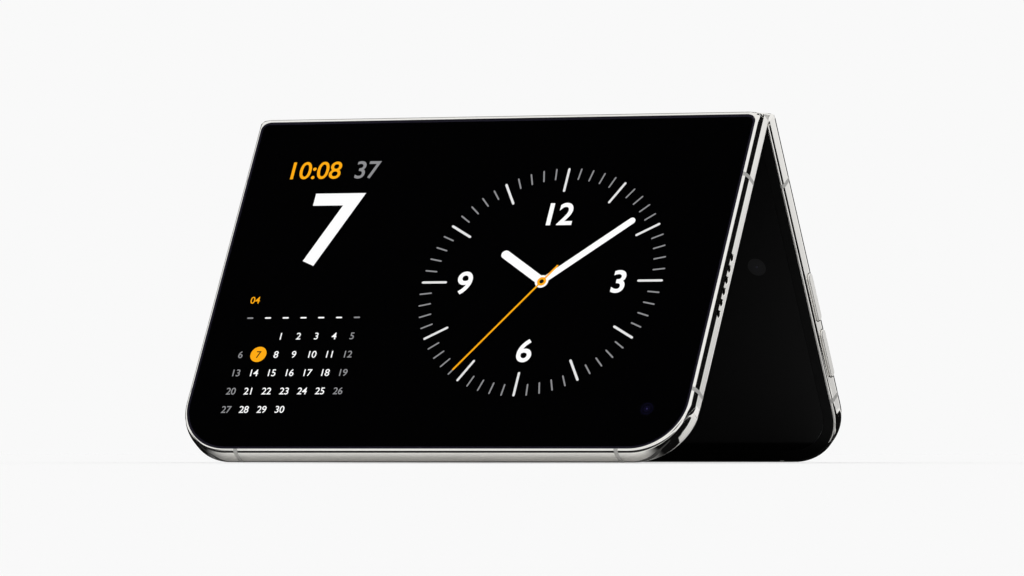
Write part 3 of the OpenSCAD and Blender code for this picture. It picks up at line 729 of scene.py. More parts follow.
def thicken(bm: bmesh.types.BMesh, by: Sequence[float]) -> bmesh.types.BMesh:
    """Makes a closed solid of a flat mesh by drawing it out.

    Args:
        bm: A mesh of one face.
        by: The vector to draw it out along.

    Returns:
        The same mesh, now a solid.
    """
    new = bmesh.ops.extrude_face_region(bm, geom=list(bm.faces))["geom"]
    bmesh.ops.translate(bm, vec=by, verts=[v for v in new if isinstance(v, bmesh.types.BMVert)])
    bmesh.ops.recalc_face_normals(bm, faces=bm.faces)
    return bm


def slab(points: Iterable[Point], z0: float, z1: float) -> bmesh.types.BMesh:
    """A solid of that outline between two heights."""
    return thicken(flat(points, "Z", z0), (0, 0, z1 - z0))


def bar(points: Iterable[Point], length: float, middle: float = 0.0) -> bmesh.types.BMesh:
    """A solid of that section in Y and Z, drawn out along X about a middle."""
    return thicken(flat(points, "X", middle - length / 2), (length, 0, 0))


def shifted(bm: bmesh.types.BMesh, x: float = 0.0, y: float = 0.0,
            z: float = 0.0) -> bmesh.types.BMesh:
    """Moves a mesh by that much."""
    return move(bm, Matrix.Translation((x, y, z)))


def joined(parts: Iterable[bmesh.types.BMesh]) -> bmesh.types.BMesh:
    """One mesh of several.

    Args:
        parts: The meshes, which are used up.

    Returns:
        The whole.
    """
    whole = bmesh.new()
    for part in parts:
        mesh = bpy.data.meshes.new("part")
        part.to_mesh(mesh)
        whole.from_mesh(mesh)
        part.free()
        bpy.data.meshes.remove(mesh)
    return whole


def as_object(name: str, bm: bmesh.types.BMesh) -> bpy.types.Object:
    """Puts a mesh in the scene.

    Args:
        name: Name of the object and of its mesh.
        bm: The mesh, which is used up.

    Returns:
        The object.
    """
    mesh = bpy.data.meshes.new(name)
    bm.to_mesh(mesh)
    bm.free()
    thing = bpy.data.objects.new(name, mesh)
    bpy.context.scene.collection.objects.link(thing)
    return thing


def carved(solid: bmesh.types.BMesh, tools: Sequence[bmesh.types.BMesh],
           operation: str = "DIFFERENCE") -> bmesh.types.BMesh:
    """Cuts tools out of a solid, joins them to it, or keeps what they share.

    Args:
        solid: The closed mesh to work on, which is used up.
        tools: Closed meshes, used up one by one.
        operation: DIFFERENCE, UNION or INTERSECT.

    Returns:
        The result.
    """
    made = [as_object("carving", part) for part in (solid, *tools)]
    for tool in made[1:]:
        modifier = made[0].modifiers.new("carve", "BOOLEAN")
        modifier.operation, modifier.solver, modifier.object = operation, "MANIFOLD", tool
    bpy.context.view_layer.update()
    graph = bpy.context.evaluated_depsgraph_get()
    result = bmesh.new()
    result.from_mesh(made[0].evaluated_get(graph).to_mesh())
    for thing in made:
        mesh = thing.data
        bpy.data.objects.remove(thing)
        bpy.data.meshes.remove(mesh)
    bmesh.ops.remove_doubles(result, verts=result.verts, dist=WELD)
    return result


def softened(bm: bmesh.types.BMesh, chosen: Callable[[bmesh.types.BMEdge], bool], radius: float,
             segments: int = 3) -> bmesh.types.BMesh:
    """Rounds some edges of a mesh.

    Args:
        bm: The mesh.
        chosen: Tells whether to round an edge.
        radius: Radius of the round.
        segments: Its number of faces.

    Returns:
        The same mesh.
    """
    edges = [e for e in bm.edges if len(e.link_faces) == 2 and chosen(e)]
    bmesh.ops.bevel(bm, geom=edges, offset=radius, segments=segments, profile=0.5,
                    affect="EDGES", material=-1, clamp_overlap=True)
    return bm


def corner_edge(edge: bmesh.types.BMEdge) -> bool:
    """Whether two faces meet in a corner at that edge."""
    return edge.calc_face_angle(0.0) > CORNER


def at_height(z: float) -> Callable[[bmesh.types.BMEdge], bool]:
    """Chooses the sharp edges that lie at that height."""
    return lambda e: corner_edge(e) and all(abs(v.co.z - z) < CLOSE for v in e.verts)


def past(x: float, sign: int = 1) -> Callable[[bmesh.types.BMEdge], bool]:
    """Chooses the sharp edges that lie at x or beyond it, towards +X or, by sign, -X."""
    return lambda e: corner_edge(e) and all(sign * (v.co.x - x) > -CLOSE for v in e.verts)


def crowned(bm: bmesh.types.BMesh, z: float, steps: Sequence[Point]) -> bmesh.types.BMesh:
    """Rounds the rim of the flat top at height z.

    Args:
        bm: A slab.
        z: Height of its top.
        steps: Pairs of a width and a drop, from the middle outwards.

    Returns:
        The mesh.
    """
    top = [f for f in bm.faces
           if f.normal.z > FACING and abs(f.calc_center_median().z - z) < CLOSE]
    for width, drop in reversed(steps):
        rim = {v for f in top for v in f.verts}
        bmesh.ops.inset_region(bm, faces=top, thickness=width, use_boundary=True,
                               use_even_offset=True)
        inner = {v for f in top for v in f.verts}
        bmesh.ops.translate(bm, vec=(0, 0, -drop), verts=list(rim - inner))
    return bm


def piece(name: str, bm: bmesh.types.BMesh, place: Matrix, body: str, finish: Finish,
          replaces: Sequence[str] = (), smooth: bool = True) -> bpy.types.Object:
    """Puts a solid in the scene as a piece of the phone.

    Args:
        name: Name of the piece.
        bm: Its mesh in millimetres, which is used up.
        place: Where the drawing goes, from millimetres to the frame's metres.
        body: The body that it rides on, or "" if it bends between bodies.
        finish: Its finish.
        replaces: The nodes that it stands for.
        smooth: Whether its curved faces are shaded as curves.

    Returns:
        The object.
    """
    move(bm, place)
    for face in bm.faces:
        face.smooth = smooth
    for edge in bm.edges:
        edge.smooth = len(edge.link_faces) == 2 and edge.calc_face_angle(0.0) < SHARP
    thing = as_object(name, bm)
    thing.data.materials.append(finish.material())
    if smooth:
        thing.modifiers.new("even_normals", "WEIGHTED_NORMAL").keep_sharp = True
    if body:
        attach(thing, body)
    if replaces:
        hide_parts(*replaces)
    log.info("%s: %d faces on %s", name, len(thing.data.polygons), body or "two bodies")
    return thing


# ---------------------------------------------------------------- the phone's sizes


@dataclass(frozen=True)
class Sizes:
    """Driving sizes, in millimetres, with the same names as in the part's source."""

    body_w: float = 120.0
    half_h: float = 84.2
    half_t: float = 4.7
    corner_r: float = 12.5
    hinge_corner_r: float = 0.9
    lean: float = 30.0
    outer_lip: float = 0.9
    hinge_lip: float = 0.9
    inner_lip: float = 0.65
    rail_w: float = 2.2
    bar_w: float = 6.8
    side_curve_h: float = 2.1
    inner_edge_r: float = 0.25
    inner_curve: Point = (0.45, 0.8)
    hinge_curve: Point = (0.85, 0.3)
    passing_r: float = 0.6
    break_w: float = 0.95
    break_depth: float = 1.6
    break_hinge_y: float = 15.7
    break_free_y: float = 15.5
    break_side_x: float = 15.2
    glass_t: float = 0.65
    glass_sink: float = 0.03
    glass_hinge_r: float = 1.8
    film_t: float = 0.28
    bezel_w: float = 2.4
    bezel_rise: float = 0.05
    support_t: float = 0.25
    mid_plate_t: float = 0.4
    fold_half: float = 3.2
    axis_gap: float = 2.5
    closed_gap: float = 0.5
    open_gap: float = 0.5
    spine_r: float = 2.1
    spine_wall: float = 0.4
    spine_gap: float = 0.15
    spine_inset: float = 1.05
    spine_depth: float = 0.48
    cap_t: float = 1.6
    cover_edge: float = 0.65
    seat_fit: float = 0.05

    @property
    def fold(self) -> float:
        """How far each half is folded from open flat, in degrees."""
        return 90 - self.lean

    @property
    def pivot_y(self) -> float:
        """Distance of a hinge axis from the hinge-side end of its half."""
        return (self.axis_gap - self.open_gap) / 2

    @property
    def pivot_z(self) -> float:
        """Height of a hinge axis above the inner face of its half."""
        return (self.axis_gap - self.closed_gap) / 2

    @property
    def film_z1(self) -> float:
        """Level of the folding display's back."""
        return self.bezel_rise + self.film_t

    @property
    def support_z1(self) -> float:
        """Level of the support plate's back."""
        return self.film_z1 + self.support_t

    @property
    def glass_z1(self) -> float:
        """Level of the cover glass's outer face."""
        return self.half_t - self.glass_sink

    @property
    def glass_z0(self) -> float:
        """Level of the cover glass's back."""
        return self.glass_z1 - self.glass_t

    @property
    def axis_h(self) -> float:
        """Height of the hinge axes above the ground.

        Returns:
            The height.
        """
        angle, r = math.radians(self.fold), self.inner_edge_r
        long, short = self.half_h - self.pivot_y - r, self.pivot_z - r
        return long * math.sin(angle) + short * math.cos(angle) + r

    @property
    def spine_place(self) -> Matrix:
        """From the spine's drawing to the frame."""
        return Matrix.Scale(MM, 4) @ Matrix.Translation((0, 0, self.axis_h))


SIZES = Sizes()


class Side(Enum):
    """The two halves, with the direction in Y that each leans out to."""

    FRONT = -1
    REAR = 1

    @property
    def word(self) -> str:
        """Start of the names of the half and its pieces."""
        return self.name.lower()

    @property
    def body(self) -> str:
        """The body that the half is."""
        return f"{self.word}_half"


@dataclass
class Half:
    """What the two halves have in common: frame, breaks, cover, inner display and bezel."""

    side: Side
    sizes: Sizes = SIZES
    arc_steps: int = 10
    corner_steps: int = 28
    hole_steps: int = 28
    crown: tuple[Point, ...] = ()
    plate_corner_r: float = 0.5
    break_seam: float = 0.02
    bezel_round: float = 0.04
    grille_holes: int = 6
    grille_r: float = 0.82
    grille_pitch: float = 2.78
    grille_chamfer: float = 0.12
    mic_r: float = 0.4
    ink_t: float = 0.012

    @property
    def place(self) -> Matrix:
        """From the half's drawing to the frame.

        Returns:
            The move.
        """
        s, sign = self.sizes, self.side.value
        lifted = Matrix.Translation((0, sign * s.axis_gap / 2, s.axis_h))
        turned = Matrix.Rotation(math.radians(-sign * s.fold), 4, "X")
        mirrored = Matrix.Diagonal((1, sign, 1, 1))
        return (Matrix.Scale(MM, 4) @ lifted @ turned @ mirrored
                @ Matrix.Translation((0, -s.pivot_y, -s.pivot_z)))

    def add(self, name: str, bm: bmesh.types.BMesh, finish: Finish, slot: str,
            replaces: Sequence[str] = (), smooth: bool = True) -> bpy.types.Object:
        """Puts a solid of the half's drawing in the scene, riding on the half."""
        return piece(name, bm, self.place, self.side.body, finish, replaces, smooth)

    def outline(self, side: float, hinge: float, free_r: float,
                hinge_r: float) -> list[Point]:
        """Outline of the half, drawn in from its edges.

        Args:
            side: Distance from the sides and the free edge.
            hinge: Distance from the hinge-side end.
            free_r: Corner radius at the free edge.
            hinge_r: Corner radius at the hinge side.

        Returns:
            The outline's points, anticlockwise from the hinge side's -X corner.
        """
        x, top = self.sizes.body_w / 2 - side, self.sizes.half_h - side
        n = self.corner_steps
        return (arc((-x + hinge_r, hinge + hinge_r), hinge_r, 180, 270, n // 3)
                + arc((x - hinge_r, hinge + hinge_r), hinge_r, 270, 360, n // 3)
                + arc((x - free_r, top - free_r), free_r, 0, 90, n)
                + arc((-x + free_r, top - free_r), free_r, 90, 180, n))

    def rail_section(self) -> list[Point]:
        """Section of the rail: first inwards from the outside, then up from the inner face.

        The side curves over to the outer lip on a long ellipse and to the inner face on a
        small one.

        Returns:
            The section's points.
        """
        s = self.sizes
        curve = (s.outer_lip, s.side_curve_h)
        below = arc(s.inner_curve, s.inner_curve, 270, 180, self.arc_steps)
        above = arc((s.outer_lip, s.half_t - s.side_curve_h), curve, 180, 90, 2 * self.arc_steps)
        return [(s.inner_lip, 0.0), *below, *above, (s.outer_lip, s.glass_z0),
                (s.rail_w, s.glass_z0), (s.rail_w, s.support_z1), (s.inner_lip, s.support_z1)]

    def rail(self) -> bmesh.types.BMesh:
        """The rail round three sides, from one hinge-side end to the other.

        Returns:
            The solid.
        """
        s = self.sizes
        x, straight = s.body_w / 2, s.half_h - s.corner_r
        bm = bmesh.new()
        verts = [bm.verts.new((x - a, 0, b)) for a, b in self.rail_section()]
        edges = [bm.edges.new(pair) for pair in zip(verts, verts[1:] + verts[:1])]
        edges = self._drawn(bm, edges, (0, straight, 0))
        edges = self._turned(bm, edges, x - s.corner_r)
        edges = self._drawn(bm, edges, (2 * (s.corner_r - x), 0, 0))
        edges = self._turned(bm, edges, s.corner_r - x)
        self._drawn(bm, edges, (0, -straight, 0))
        bmesh.ops.holes_fill(bm, edges=[e for e in bm.edges if e.is_boundary], sides=0)
        bmesh.ops.recalc_face_normals(bm, faces=bm.faces)
        return bm

    def _drawn(self, bm: bmesh.types.BMesh, edges: list, by: Sequence[float]) -> list:
        """Draws a loop of edges out along a vector.

        Args:
            bm: The mesh.
            edges: The loop.
            by: The vector.

        Returns:
            The new loop.
        """
        new = bmesh.ops.extrude_edge_only(bm, edges=edges)["geom"]
        bmesh.ops.translate(bm, vec=by, verts=[v for v in new if isinstance(v, bmesh.types.BMVert)])
        return [e for e in new if isinstance(e, bmesh.types.BMEdge)]

    def _turned(self, bm: bmesh.types.BMesh, edges: list, x: float) -> list:
        """Spins a loop of edges a quarter turn round a corner of the free edge.

        Args:
            bm: The mesh.
            edges: The loop.
            x: Middle of the corner.

        Returns:
            The new loop.
        """
        verts = list({v for e in edges for v in e.verts})
        centre = (x, self.sizes.half_h - self.sizes.corner_r, 0)
        last = bmesh.ops.spin(bm, geom=[*verts, *edges], cent=centre, axis=(0, 0, 1),
                              angle=math.pi / 2, steps=self.corner_steps)["geom_last"]
        return [e for e in last if isinstance(e, bmesh.types.BMEdge)]

    def corner_tool(self, across: float, up: float) -> list[Point]:
        """What a round with those half axes takes off a corner at the drawing's origin."""
        hollow = arc((across, up), (across, up), 270, 180, self.arc_steps)
        return [(-OVER, -OVER), (across, -OVER), *hollow, (-OVER, up)]

    def hinge_bar(self) -> bmesh.types.BMesh:
        """The bar at the hinge side, with the lip that runs along the outer face.

        Returns:
            The solid.
        """
        s = self.sizes
        length = s.body_w - 2 * s.outer_lip
        section = [(0, s.support_z1), (s.bar_w, s.support_z1), (s.bar_w, s.glass_z0),
                   (s.hinge_lip, s.glass_z0), (s.hinge_lip, s.half_t), (0, s.half_t)]
        return bar(section, length)

    def pocket_corners(self) -> bmesh.types.BMesh:
        """What fills the corners of the glass's pocket out to the glass's rounds.

        Returns:
            The two fillers.
        """
        s = self.sizes
        r, over = s.glass_hinge_r + s.seat_fit, 0.1
        x, y = s.body_w / 2 - s.outer_lip, s.hinge_lip
        hollow = arc((x - r, y + r), r, 0, -90, self.arc_steps)
        shape = [(x - r, y - over), (x + over, y - over), (x + over, y + r), *hollow]
        mirrored = [(-a, b) for a, b in shape]
        return joined(slab(points, s.glass_z0 - over, s.half_t) for points in (shape, mirrored))

    def corner_sweep(self, sign: int) -> bmesh.types.BMesh:
        """What the outer face's curve takes off round a hinge-side corner.

        The curve falls from the glass's round to the outline, and changes on its way round
        the corner from the side's depth to the hinge side's.

        Args:
            sign: Which end of the hinge, -1 or 1.

        Returns:
            The tool.
        """
        s, n = self.sizes, self.arc_steps
        r, bend = s.glass_hinge_r + s.seat_fit, s.hinge_corner_r
        reach = s.hinge_lip + r
        inner = arc((reach, reach), r, 180, 270, 3 * n)
        outer = ([(0.0, reach + (bend - reach) * i / n) for i in range(n)]
                 + arc((bend, bend), bend, 180, 270, n)
                 + [(bend + (reach - bend) * i / n, 0.0) for i in range(1, n + 1)])
        bm = bmesh.new()
        rings = []
        for i, (start, end) in enumerate(zip(inner, outer)):
            start, end = Vector(start), Vector(end)
            drop = s.side_curve_h + (s.hinge_curve[1] - s.side_curve_h) * i / (3 * n)
            out = end + (end - start).normalized() * OVER
            section = [(start + (end - start) * across, s.half_t - drop * down)
                       for across, down in arc((0, 1), 1, -90, 0, n)]
            section += [(out, s.half_t - drop), (out, s.half_t + OVER), (start, s.half_t + OVER)]
            rings.append([bm.verts.new((sign * (s.body_w / 2 - at.x), at.y, z))
                          for at, z in section])
        for ring, after in zip(rings, rings[1:]):
            for quad in zip(ring, ring[1:] + ring[:1], after[1:] + after[:1], after):
                bm.faces.new(quad)
        bm.faces.new(rings[0])
        bm.faces.new(rings[-1])
        bmesh.ops.recalc_face_normals(bm, faces=bm.faces)
        return bm

    def hinge_tools(self) -> list[bmesh.types.BMesh]:
        """What the spine's way and the rounds take off the hinge side of the frame.

        Returns:
            The tools.
        """
        s = self.sizes
        cut_r = s.spine_r + s.spine_gap
        room = s.body_w - 2 * s.spine_inset + 2 * s.spine_gap
        outer = [(a, s.half_t - b) for a, b in self.corner_tool(*s.hinge_curve)]
        way = ([(-2 * OVER, -OVER), (s.pivot_y + cut_r, -OVER)]
               + arc((s.pivot_y, s.pivot_z), cut_r, 0, 90, 3 * self.arc_steps)
               + [(-2 * OVER, s.pivot_z + cut_r)])
        length = s.body_w + 2 * OVER
        tools = [bar(way, room), bar(self.corner_tool(s.passing_r, s.passing_r), length),
                 bar(outer, length)]
        for x in (-s.body_w / 2, s.body_w / 2):
            corner = self.corner_tool(s.hinge_corner_r, s.hinge_corner_r)
            side = [(x - math.copysign(a, x), b) for a, b in corner]
            tools.append(slab(side, -OVER, s.half_t + OVER))
        return tools + [self.corner_sweep(sign) for sign in (-1, 1)]

    def break_places(self) -> list[tuple[float, float, bool]]:
        """Middles of the breaks, and whether each is in a side.

        Returns:
            An x, a y and that for each break.
        """
        s = self.sizes
        sides = [(x, y, True) for x in (-s.body_w / 2, s.body_w / 2)
                 for y in (s.break_hinge_y, s.half_h - s.break_free_y)]
        reach = s.body_w / 2 - s.break_side_x
        return sides + [(x, s.half_h, False) for x in (-reach, reach)]

    def break_box(self, x: float, y: float, in_side: bool, width: float) -> bmesh.types.BMesh:
        """A block as deep as a break, reaching past the outside of the frame.

        Args:
            x: Middle of the break, on the outline.
            y: The same, from the hinge-side end.
            in_side: Whether it is in a side, and not in the free edge.
            width: Width of the block.

        Returns:
            The solid.
        """
        s = self.sizes
        deep = s.break_depth
        if in_side:
            ends = sorted((x - math.copysign(deep, x), x + math.copysign(OVER, x)))
            corners = (*ends, y - width / 2, y + width / 2)
        else:
            corners = (x - width / 2, x + width / 2, y - deep, y + OVER)
        x0, x1, y0, y1 = corners
        return slab([(x0, y0), (x1, y0), (x1, y1), (x0, y1)], -OVER, s.half_t + OVER)

    def hole(self, x: float, y: float, radius: float) -> bmesh.types.BMesh:
        """A round tool through a side, with a small countersink.

        Args:
            x: Place of the side.
            y: Middle of the hole, from the hinge-side end.
            radius: Radius of the hole.

        Returns:
            The solid.
        """
        s, c = self.sizes, self.grille_chamfer
        deep = 3 * s.rail_w
        outline = [(0, 0), (radius, 0), (radius, deep - c), (radius + c, deep),
                   (radius + c, deep + OVER), (0, deep + OVER)]
        bm = bmesh.new()
        verts = [bm.verts.new((r, 0, z)) for r, z in outline]
        edges = [bm.edges.new(pair) for pair in zip(verts, verts[1:])]
        bmesh.ops.spin(bm, geom=[*verts, *edges], cent=(0, 0, 0), axis=(0, 0, 1),
                       angle=2 * math.pi, steps=self.hole_steps, use_merge=True)
        bmesh.ops.remove_doubles(bm, verts=bm.verts, dist=CLOSE)
        bmesh.ops.recalc_face_normals(bm, faces=bm.faces)
        outwards = Matrix.Rotation(math.copysign(math.pi / 2, x), 4, "Y")
        start = x - math.copysign(deep, x)
        return move(bm, Matrix.Translation((start, y, s.half_t / 2)) @ outwards)

    def grille(self, x: float, y: float) -> list[bmesh.types.BMesh]:
        """Tools of a speaker's row of holes.

        Args:
            x: Place of the side that they go through.
            y: Middle of the row, from the hinge-side end.

        Returns:
            The tools.
        """
        middle = (self.grille_holes - 1) / 2
        return [self.hole(x, y + (i - middle) * self.grille_pitch, self.grille_r)
                for i in range(self.grille_holes)]

    def cover(self) -> bmesh.types.BMesh:
        """The plate that fills the pocket of the outer face, with its rim rounded.

        Returns:
            The solid.
        """
        s = self.sizes
        edge = s.outer_lip + s.seat_fit
        shape = self.outline(edge, s.hinge_lip + s.seat_fit, s.corner_r - edge, s.glass_hinge_r)
        return crowned(slab(shape, s.glass_z0, s.glass_z1), s.glass_z1, self.crown)

    def frame_tools(self) -> list[bmesh.types.BMesh]:
        """What the half's own openings take out of the frame."""
        return []

    def build_frame(self) -> None:
        """The polished frame and the plastic breaks let into it."""
        s = self.sizes
        slots = joined(self.break_box(*place, s.break_w) for place in self.break_places())
        solid = carved(self.rail(), [self.hinge_bar(), self.pocket_corners()], "UNION")
        solid = carved(solid, [slots, *self.hinge_tools(), *self.frame_tools()])
        plate = slab(self.outline(s.rail_w, s.bar_w / 2, s.corner_r - s.rail_w,
                                  self.plate_corner_r),
                     s.support_z1, s.support_z1 + s.mid_plate_t)
        self.add(f"{self.side.word}_frame_polished", joined([solid, plate]), POLISHED,
                 "polished_frame", [f"{self.side.word}_frame"])
        fillers = joined(self.break_box(*place, s.break_w - 2 * self.break_seam)
                         for place in self.break_places())
        filled = carved(self.rail(), [fillers], "INTERSECT")
        self.add(f"{self.side.word}_break_fillers", filled, BREAK, "break_plastic",
                 [f"{self.side.word}_antenna_breaks"])

    def build_inner_face(self) -> None:
        """The flat stretch of the folding display and the soft bezel round it."""
        s = self.sizes
        edge, inner = s.inner_lip + s.seat_fit, s.inner_lip + s.bezel_w
        start = s.fold_half - s.open_gap / 2
        rim = slab(self.outline(edge, start, s.corner_r - edge, s.seat_fit), 0, s.film_z1)
        room = slab(self.outline(inner, -OVER, s.corner_r - inner, s.seat_fit), -OVER, s.half_t)
        rim = softened(carved(rim, [room]), at_height(0), self.bezel_round, 2)
        self.add(f"{self.side.word}_bezel", rim, BEZEL, "soft_bezel",
                 [f"{self.side.word}_inner_bezel"])
        shape = self.outline(inner + s.seat_fit, start, s.corner_r - inner - s.seat_fit,
                             s.seat_fit)
        self.add(f"{self.side.word}_display_film", slab(shape, s.bezel_rise, s.film_z1), FILM,
                 "inner_film", [f"{self.side.word}_inner_display"])


# ---------------------------------------------------------------- front half


@dataclass
class Dial:
    """The lit clock on the cover display."""

    x: float = 18.0
    y: float = 42.1
    radius: float = 28.4
    minute_l: float = 2.9
    minute_w: float = 0.34
    hour_l: float = 6.0
    hour_w: float = 0.55
    numeral_reach: tuple[float, float] = (18.2, 17.0)
    numeral_h: float = 5.6
    hour_angle: float = 304.0
    minute_angle: float = 50.0
    second_angle: float = 216.0
    hour_reach: float = 13.2
    hour_hand_w: float = 2.0
    minute_reach: float = 24.0
    minute_hand_w: float = 1.6
    hands_r: float = 1.55
    second_tail: float = 5.0
    second_reach: float = 27.0
    second_w: float = 0.42
    second_r: float = 1.05
    hub_r: float = 0.5


@dataclass
class Almanac:
    """The lit date and month grid on the cover display."""

    label_x: float = -50.0
    label_y: float = 13.2
    seconds_x: float = -33.6
    label_h: float = 4.5
    day_x: float = -36.0
    day_y: float = 27.7
    day_h: float = 18.5
    grid_x: float = -49.5
    grid_y: float = 50.7
    column: float = 4.28
    row: float = 4.56
    digit_h: float = 1.75
    first_column: int = 2
    days: int = 30
    today: int = 7
    today_r: float = 1.9
    month_shift: float = 1.1
    mark_l: float = 1.5
    mark_w: float = 0.36
    label_weight: float = 0.008
    day_weight: float = 0.014
    grid_weight: float = 0.006


@dataclass
class FrontHalf(Half):
    """The half with the cover display, seen from the front."""

    side: Side = Side.FRONT
    dial: Dial = field(default_factory=Dial)
    almanac: Almanac = field(default_factory=Almanac)
    camera_x: float = 49.8
    camera_y: float = 73.6
    camera_r: float = 1.75
    crown: tuple[Point, ...] = ((0.3, 0.02), (0.18, 0.07))
    digit_share: float = 0.729
    digit_spacing: float = 0.97
    digit_steps: int = 6

    def frame_tools(self) -> list[bmesh.types.BMesh]:
        """The speaker's holes on one side and a microphone's on the other."""
        x, y = self.sizes.body_w / 2, self.sizes.half_h / 2
        return [joined([*self.grille(x, y), self.hole(-x, y, self.mic_r)])]

    def build_glass(self) -> None:
        """The black cover glass, its polished rim with a painted glow, and the camera's window."""
        z = self.sizes.glass_z1
        glass = self.add("cover_glass_black", self.cover(), COATED_GLASS, "black_glass",
                         ["cover_glass"])
        glass.data.materials.append(GLASS_EDGE_GLOW.material())
        # The rim's small faces take the painted edge glow.
        for face in glass.data.polygons:
            face.material_index = int(face.area < RIM_AREA)
        window = shifted(slab(disc(self.camera_r), 0, self.ink_t), self.camera_x, self.camera_y,
                         z)
        centre = self.place @ Vector((self.camera_x, self.camera_y, z))
        finish = Lens("cover_lens", (0.0008, 0.0008, 0.0015), 0.05, tuple(centre), self.camera_r,
                      (0.006, 0.005, 0.02))
        self.add("cover_camera_window", window, finish, "lens_glass", ["cover_camera_lens"])

    def ink(self, name: str, parts: Iterable[bmesh.types.BMesh], finish: Finish,
            layer: int = 0) -> None:
        """Adds lit shapes, drawn upright about the half's own x and y.

        Args:
            name: Name of the piece.
            parts: Thin solids that stand on z = 0, with their up along +Y.
            finish: Their finish.
            layer: How many layers of ink lie below.
        """
        upright = Matrix.Diagonal((1, -1, 1, 1))
        lift = Matrix.Translation((0, 0, self.sizes.glass_z1 + layer * self.ink_t))
        bm = move(joined(parts), lift @ upright)
        self.add(name, bm, finish, "black_glass", smooth=False)

    def shape(self, points: Iterable[Point], x: float, y: float,
              turn: float = 0.0) -> bmesh.types.BMesh:
        """A lit shape at a place of the half's drawing.

        Args:
            points: Its outline, about its own middle.
            x: Place along the hinge.
            y: Place from the hinge-side end.
            turn: Turn clockwise, in degrees.

        Returns:
            A thin solid.
        """
        bm = slab(points, 0, self.ink_t)
        turned = Matrix.Rotation(math.radians(-turn), 4, "Z")
        return move(bm, Matrix.Translation((x, -y, 0)) @ turned)

    def numeral(self, text: str, x: float, y: float, height: float, weight: float = 0.018,
                align: str = "CENTER") -> bmesh.types.BMesh:
        """Digits as a lit shape.

        Args:
            text: The digits.
            x: Place along the hinge.
            y: Place of their middle, from the hinge-side end.
            height: Height of a digit.
            weight: How much bolder they are than the plain font, as a share of its size.
            align: CENTER or LEFT.

        Returns:
            A thin solid.
        """
        size = height / self.digit_share
        curve = bpy.data.curves.new("numeral", "FONT")
        curve.body, curve.align_x = text, align
        curve.size, curve.offset, curve.extrude = size, weight * size, self.ink_t / 2
        curve.resolution_u, curve.space_character = self.digit_steps, self.digit_spacing
        thing = bpy.data.objects.new("numeral", curve)
        bpy.context.scene.collection.objects.link(thing)
        graph = bpy.context.evaluated_depsgraph_get()
        bm = bmesh.new()
        bm.from_mesh(thing.evaluated_get(graph).to_mesh())
        bpy.data.objects.remove(thing)
        bpy.data.curves.remove(curve)
        bmesh.ops.remove_doubles(bm, verts=bm.verts, dist=CLOSE)
        return move(bm, Matrix.Translation((x, -y - height / 2, self.ink_t / 2)))

    def build_dial(self) -> None:
        """A round dial: ticks, four numerals, two baton hands and a second hand."""
        d = self.dial

        def at(radius: float | Point, angle: float) -> Point:
            """A point of the dial.

            Args:
                radius: Its distance from the middle, or that across and up.
                angle: Its angle from twelve, in degrees.

            Returns:
                The point.
            """
            a = math.radians(angle)
            across, up = radius if isinstance(radius, tuple) else (radius, radius)
            return d.x + across * math.sin(a), d.y - up * math.cos(a)

        def tick(minute: int, length: float, width: float) -> bmesh.types.BMesh:
            """A tick that ends at the dial's edge."""
            place = at(d.radius - length / 2, 6 * minute)
            return self.shape(pill(length, width, 4), *place, 6 * minute - 90)

        def hand(angle: float, tail: float, reach: float, width: float) -> bmesh.types.BMesh:
            """A hand from its tail behind the middle to its tip."""
            place = at((reach - tail) / 2, angle)
            return self.shape(pill(reach + tail, width, 10), *place, angle - 90)

        self.ink("dial_minute_ticks", [tick(m, d.minute_l, d.minute_w) for m in range(60) if m % 5],
                 MID_GREY)
        self.ink("dial_hour_ticks", [tick(m, d.hour_l, d.hour_w) for m in range(0, 60, 5)],
                 SOFT_WHITE)
        numerals = [self.numeral(text, *at(d.numeral_reach, angle), d.numeral_h)
                    for text, angle in (("12", 0), ("3", 90), ("6", 180), ("9", 270))]
        self.ink("dial_numerals", numerals, WHITE)
        hands = [hand(d.hour_angle, 0, d.hour_reach, d.hour_hand_w),
                 hand(d.minute_angle, 0, d.minute_reach, d.minute_hand_w),
                 self.shape(disc(d.hands_r), d.x, d.y)]
        self.ink("dial_hands", hands, WHITE, 1)
        second = hand(d.second_angle, d.second_tail, d.second_reach, d.second_w)
        self.ink("dial_second_hand", [second, self.shape(disc(d.second_r), d.x, d.y)], ORANGE, 2)
        self.ink("dial_hub", [self.shape(disc(d.hub_r), d.x, d.y)], DARK, 3)

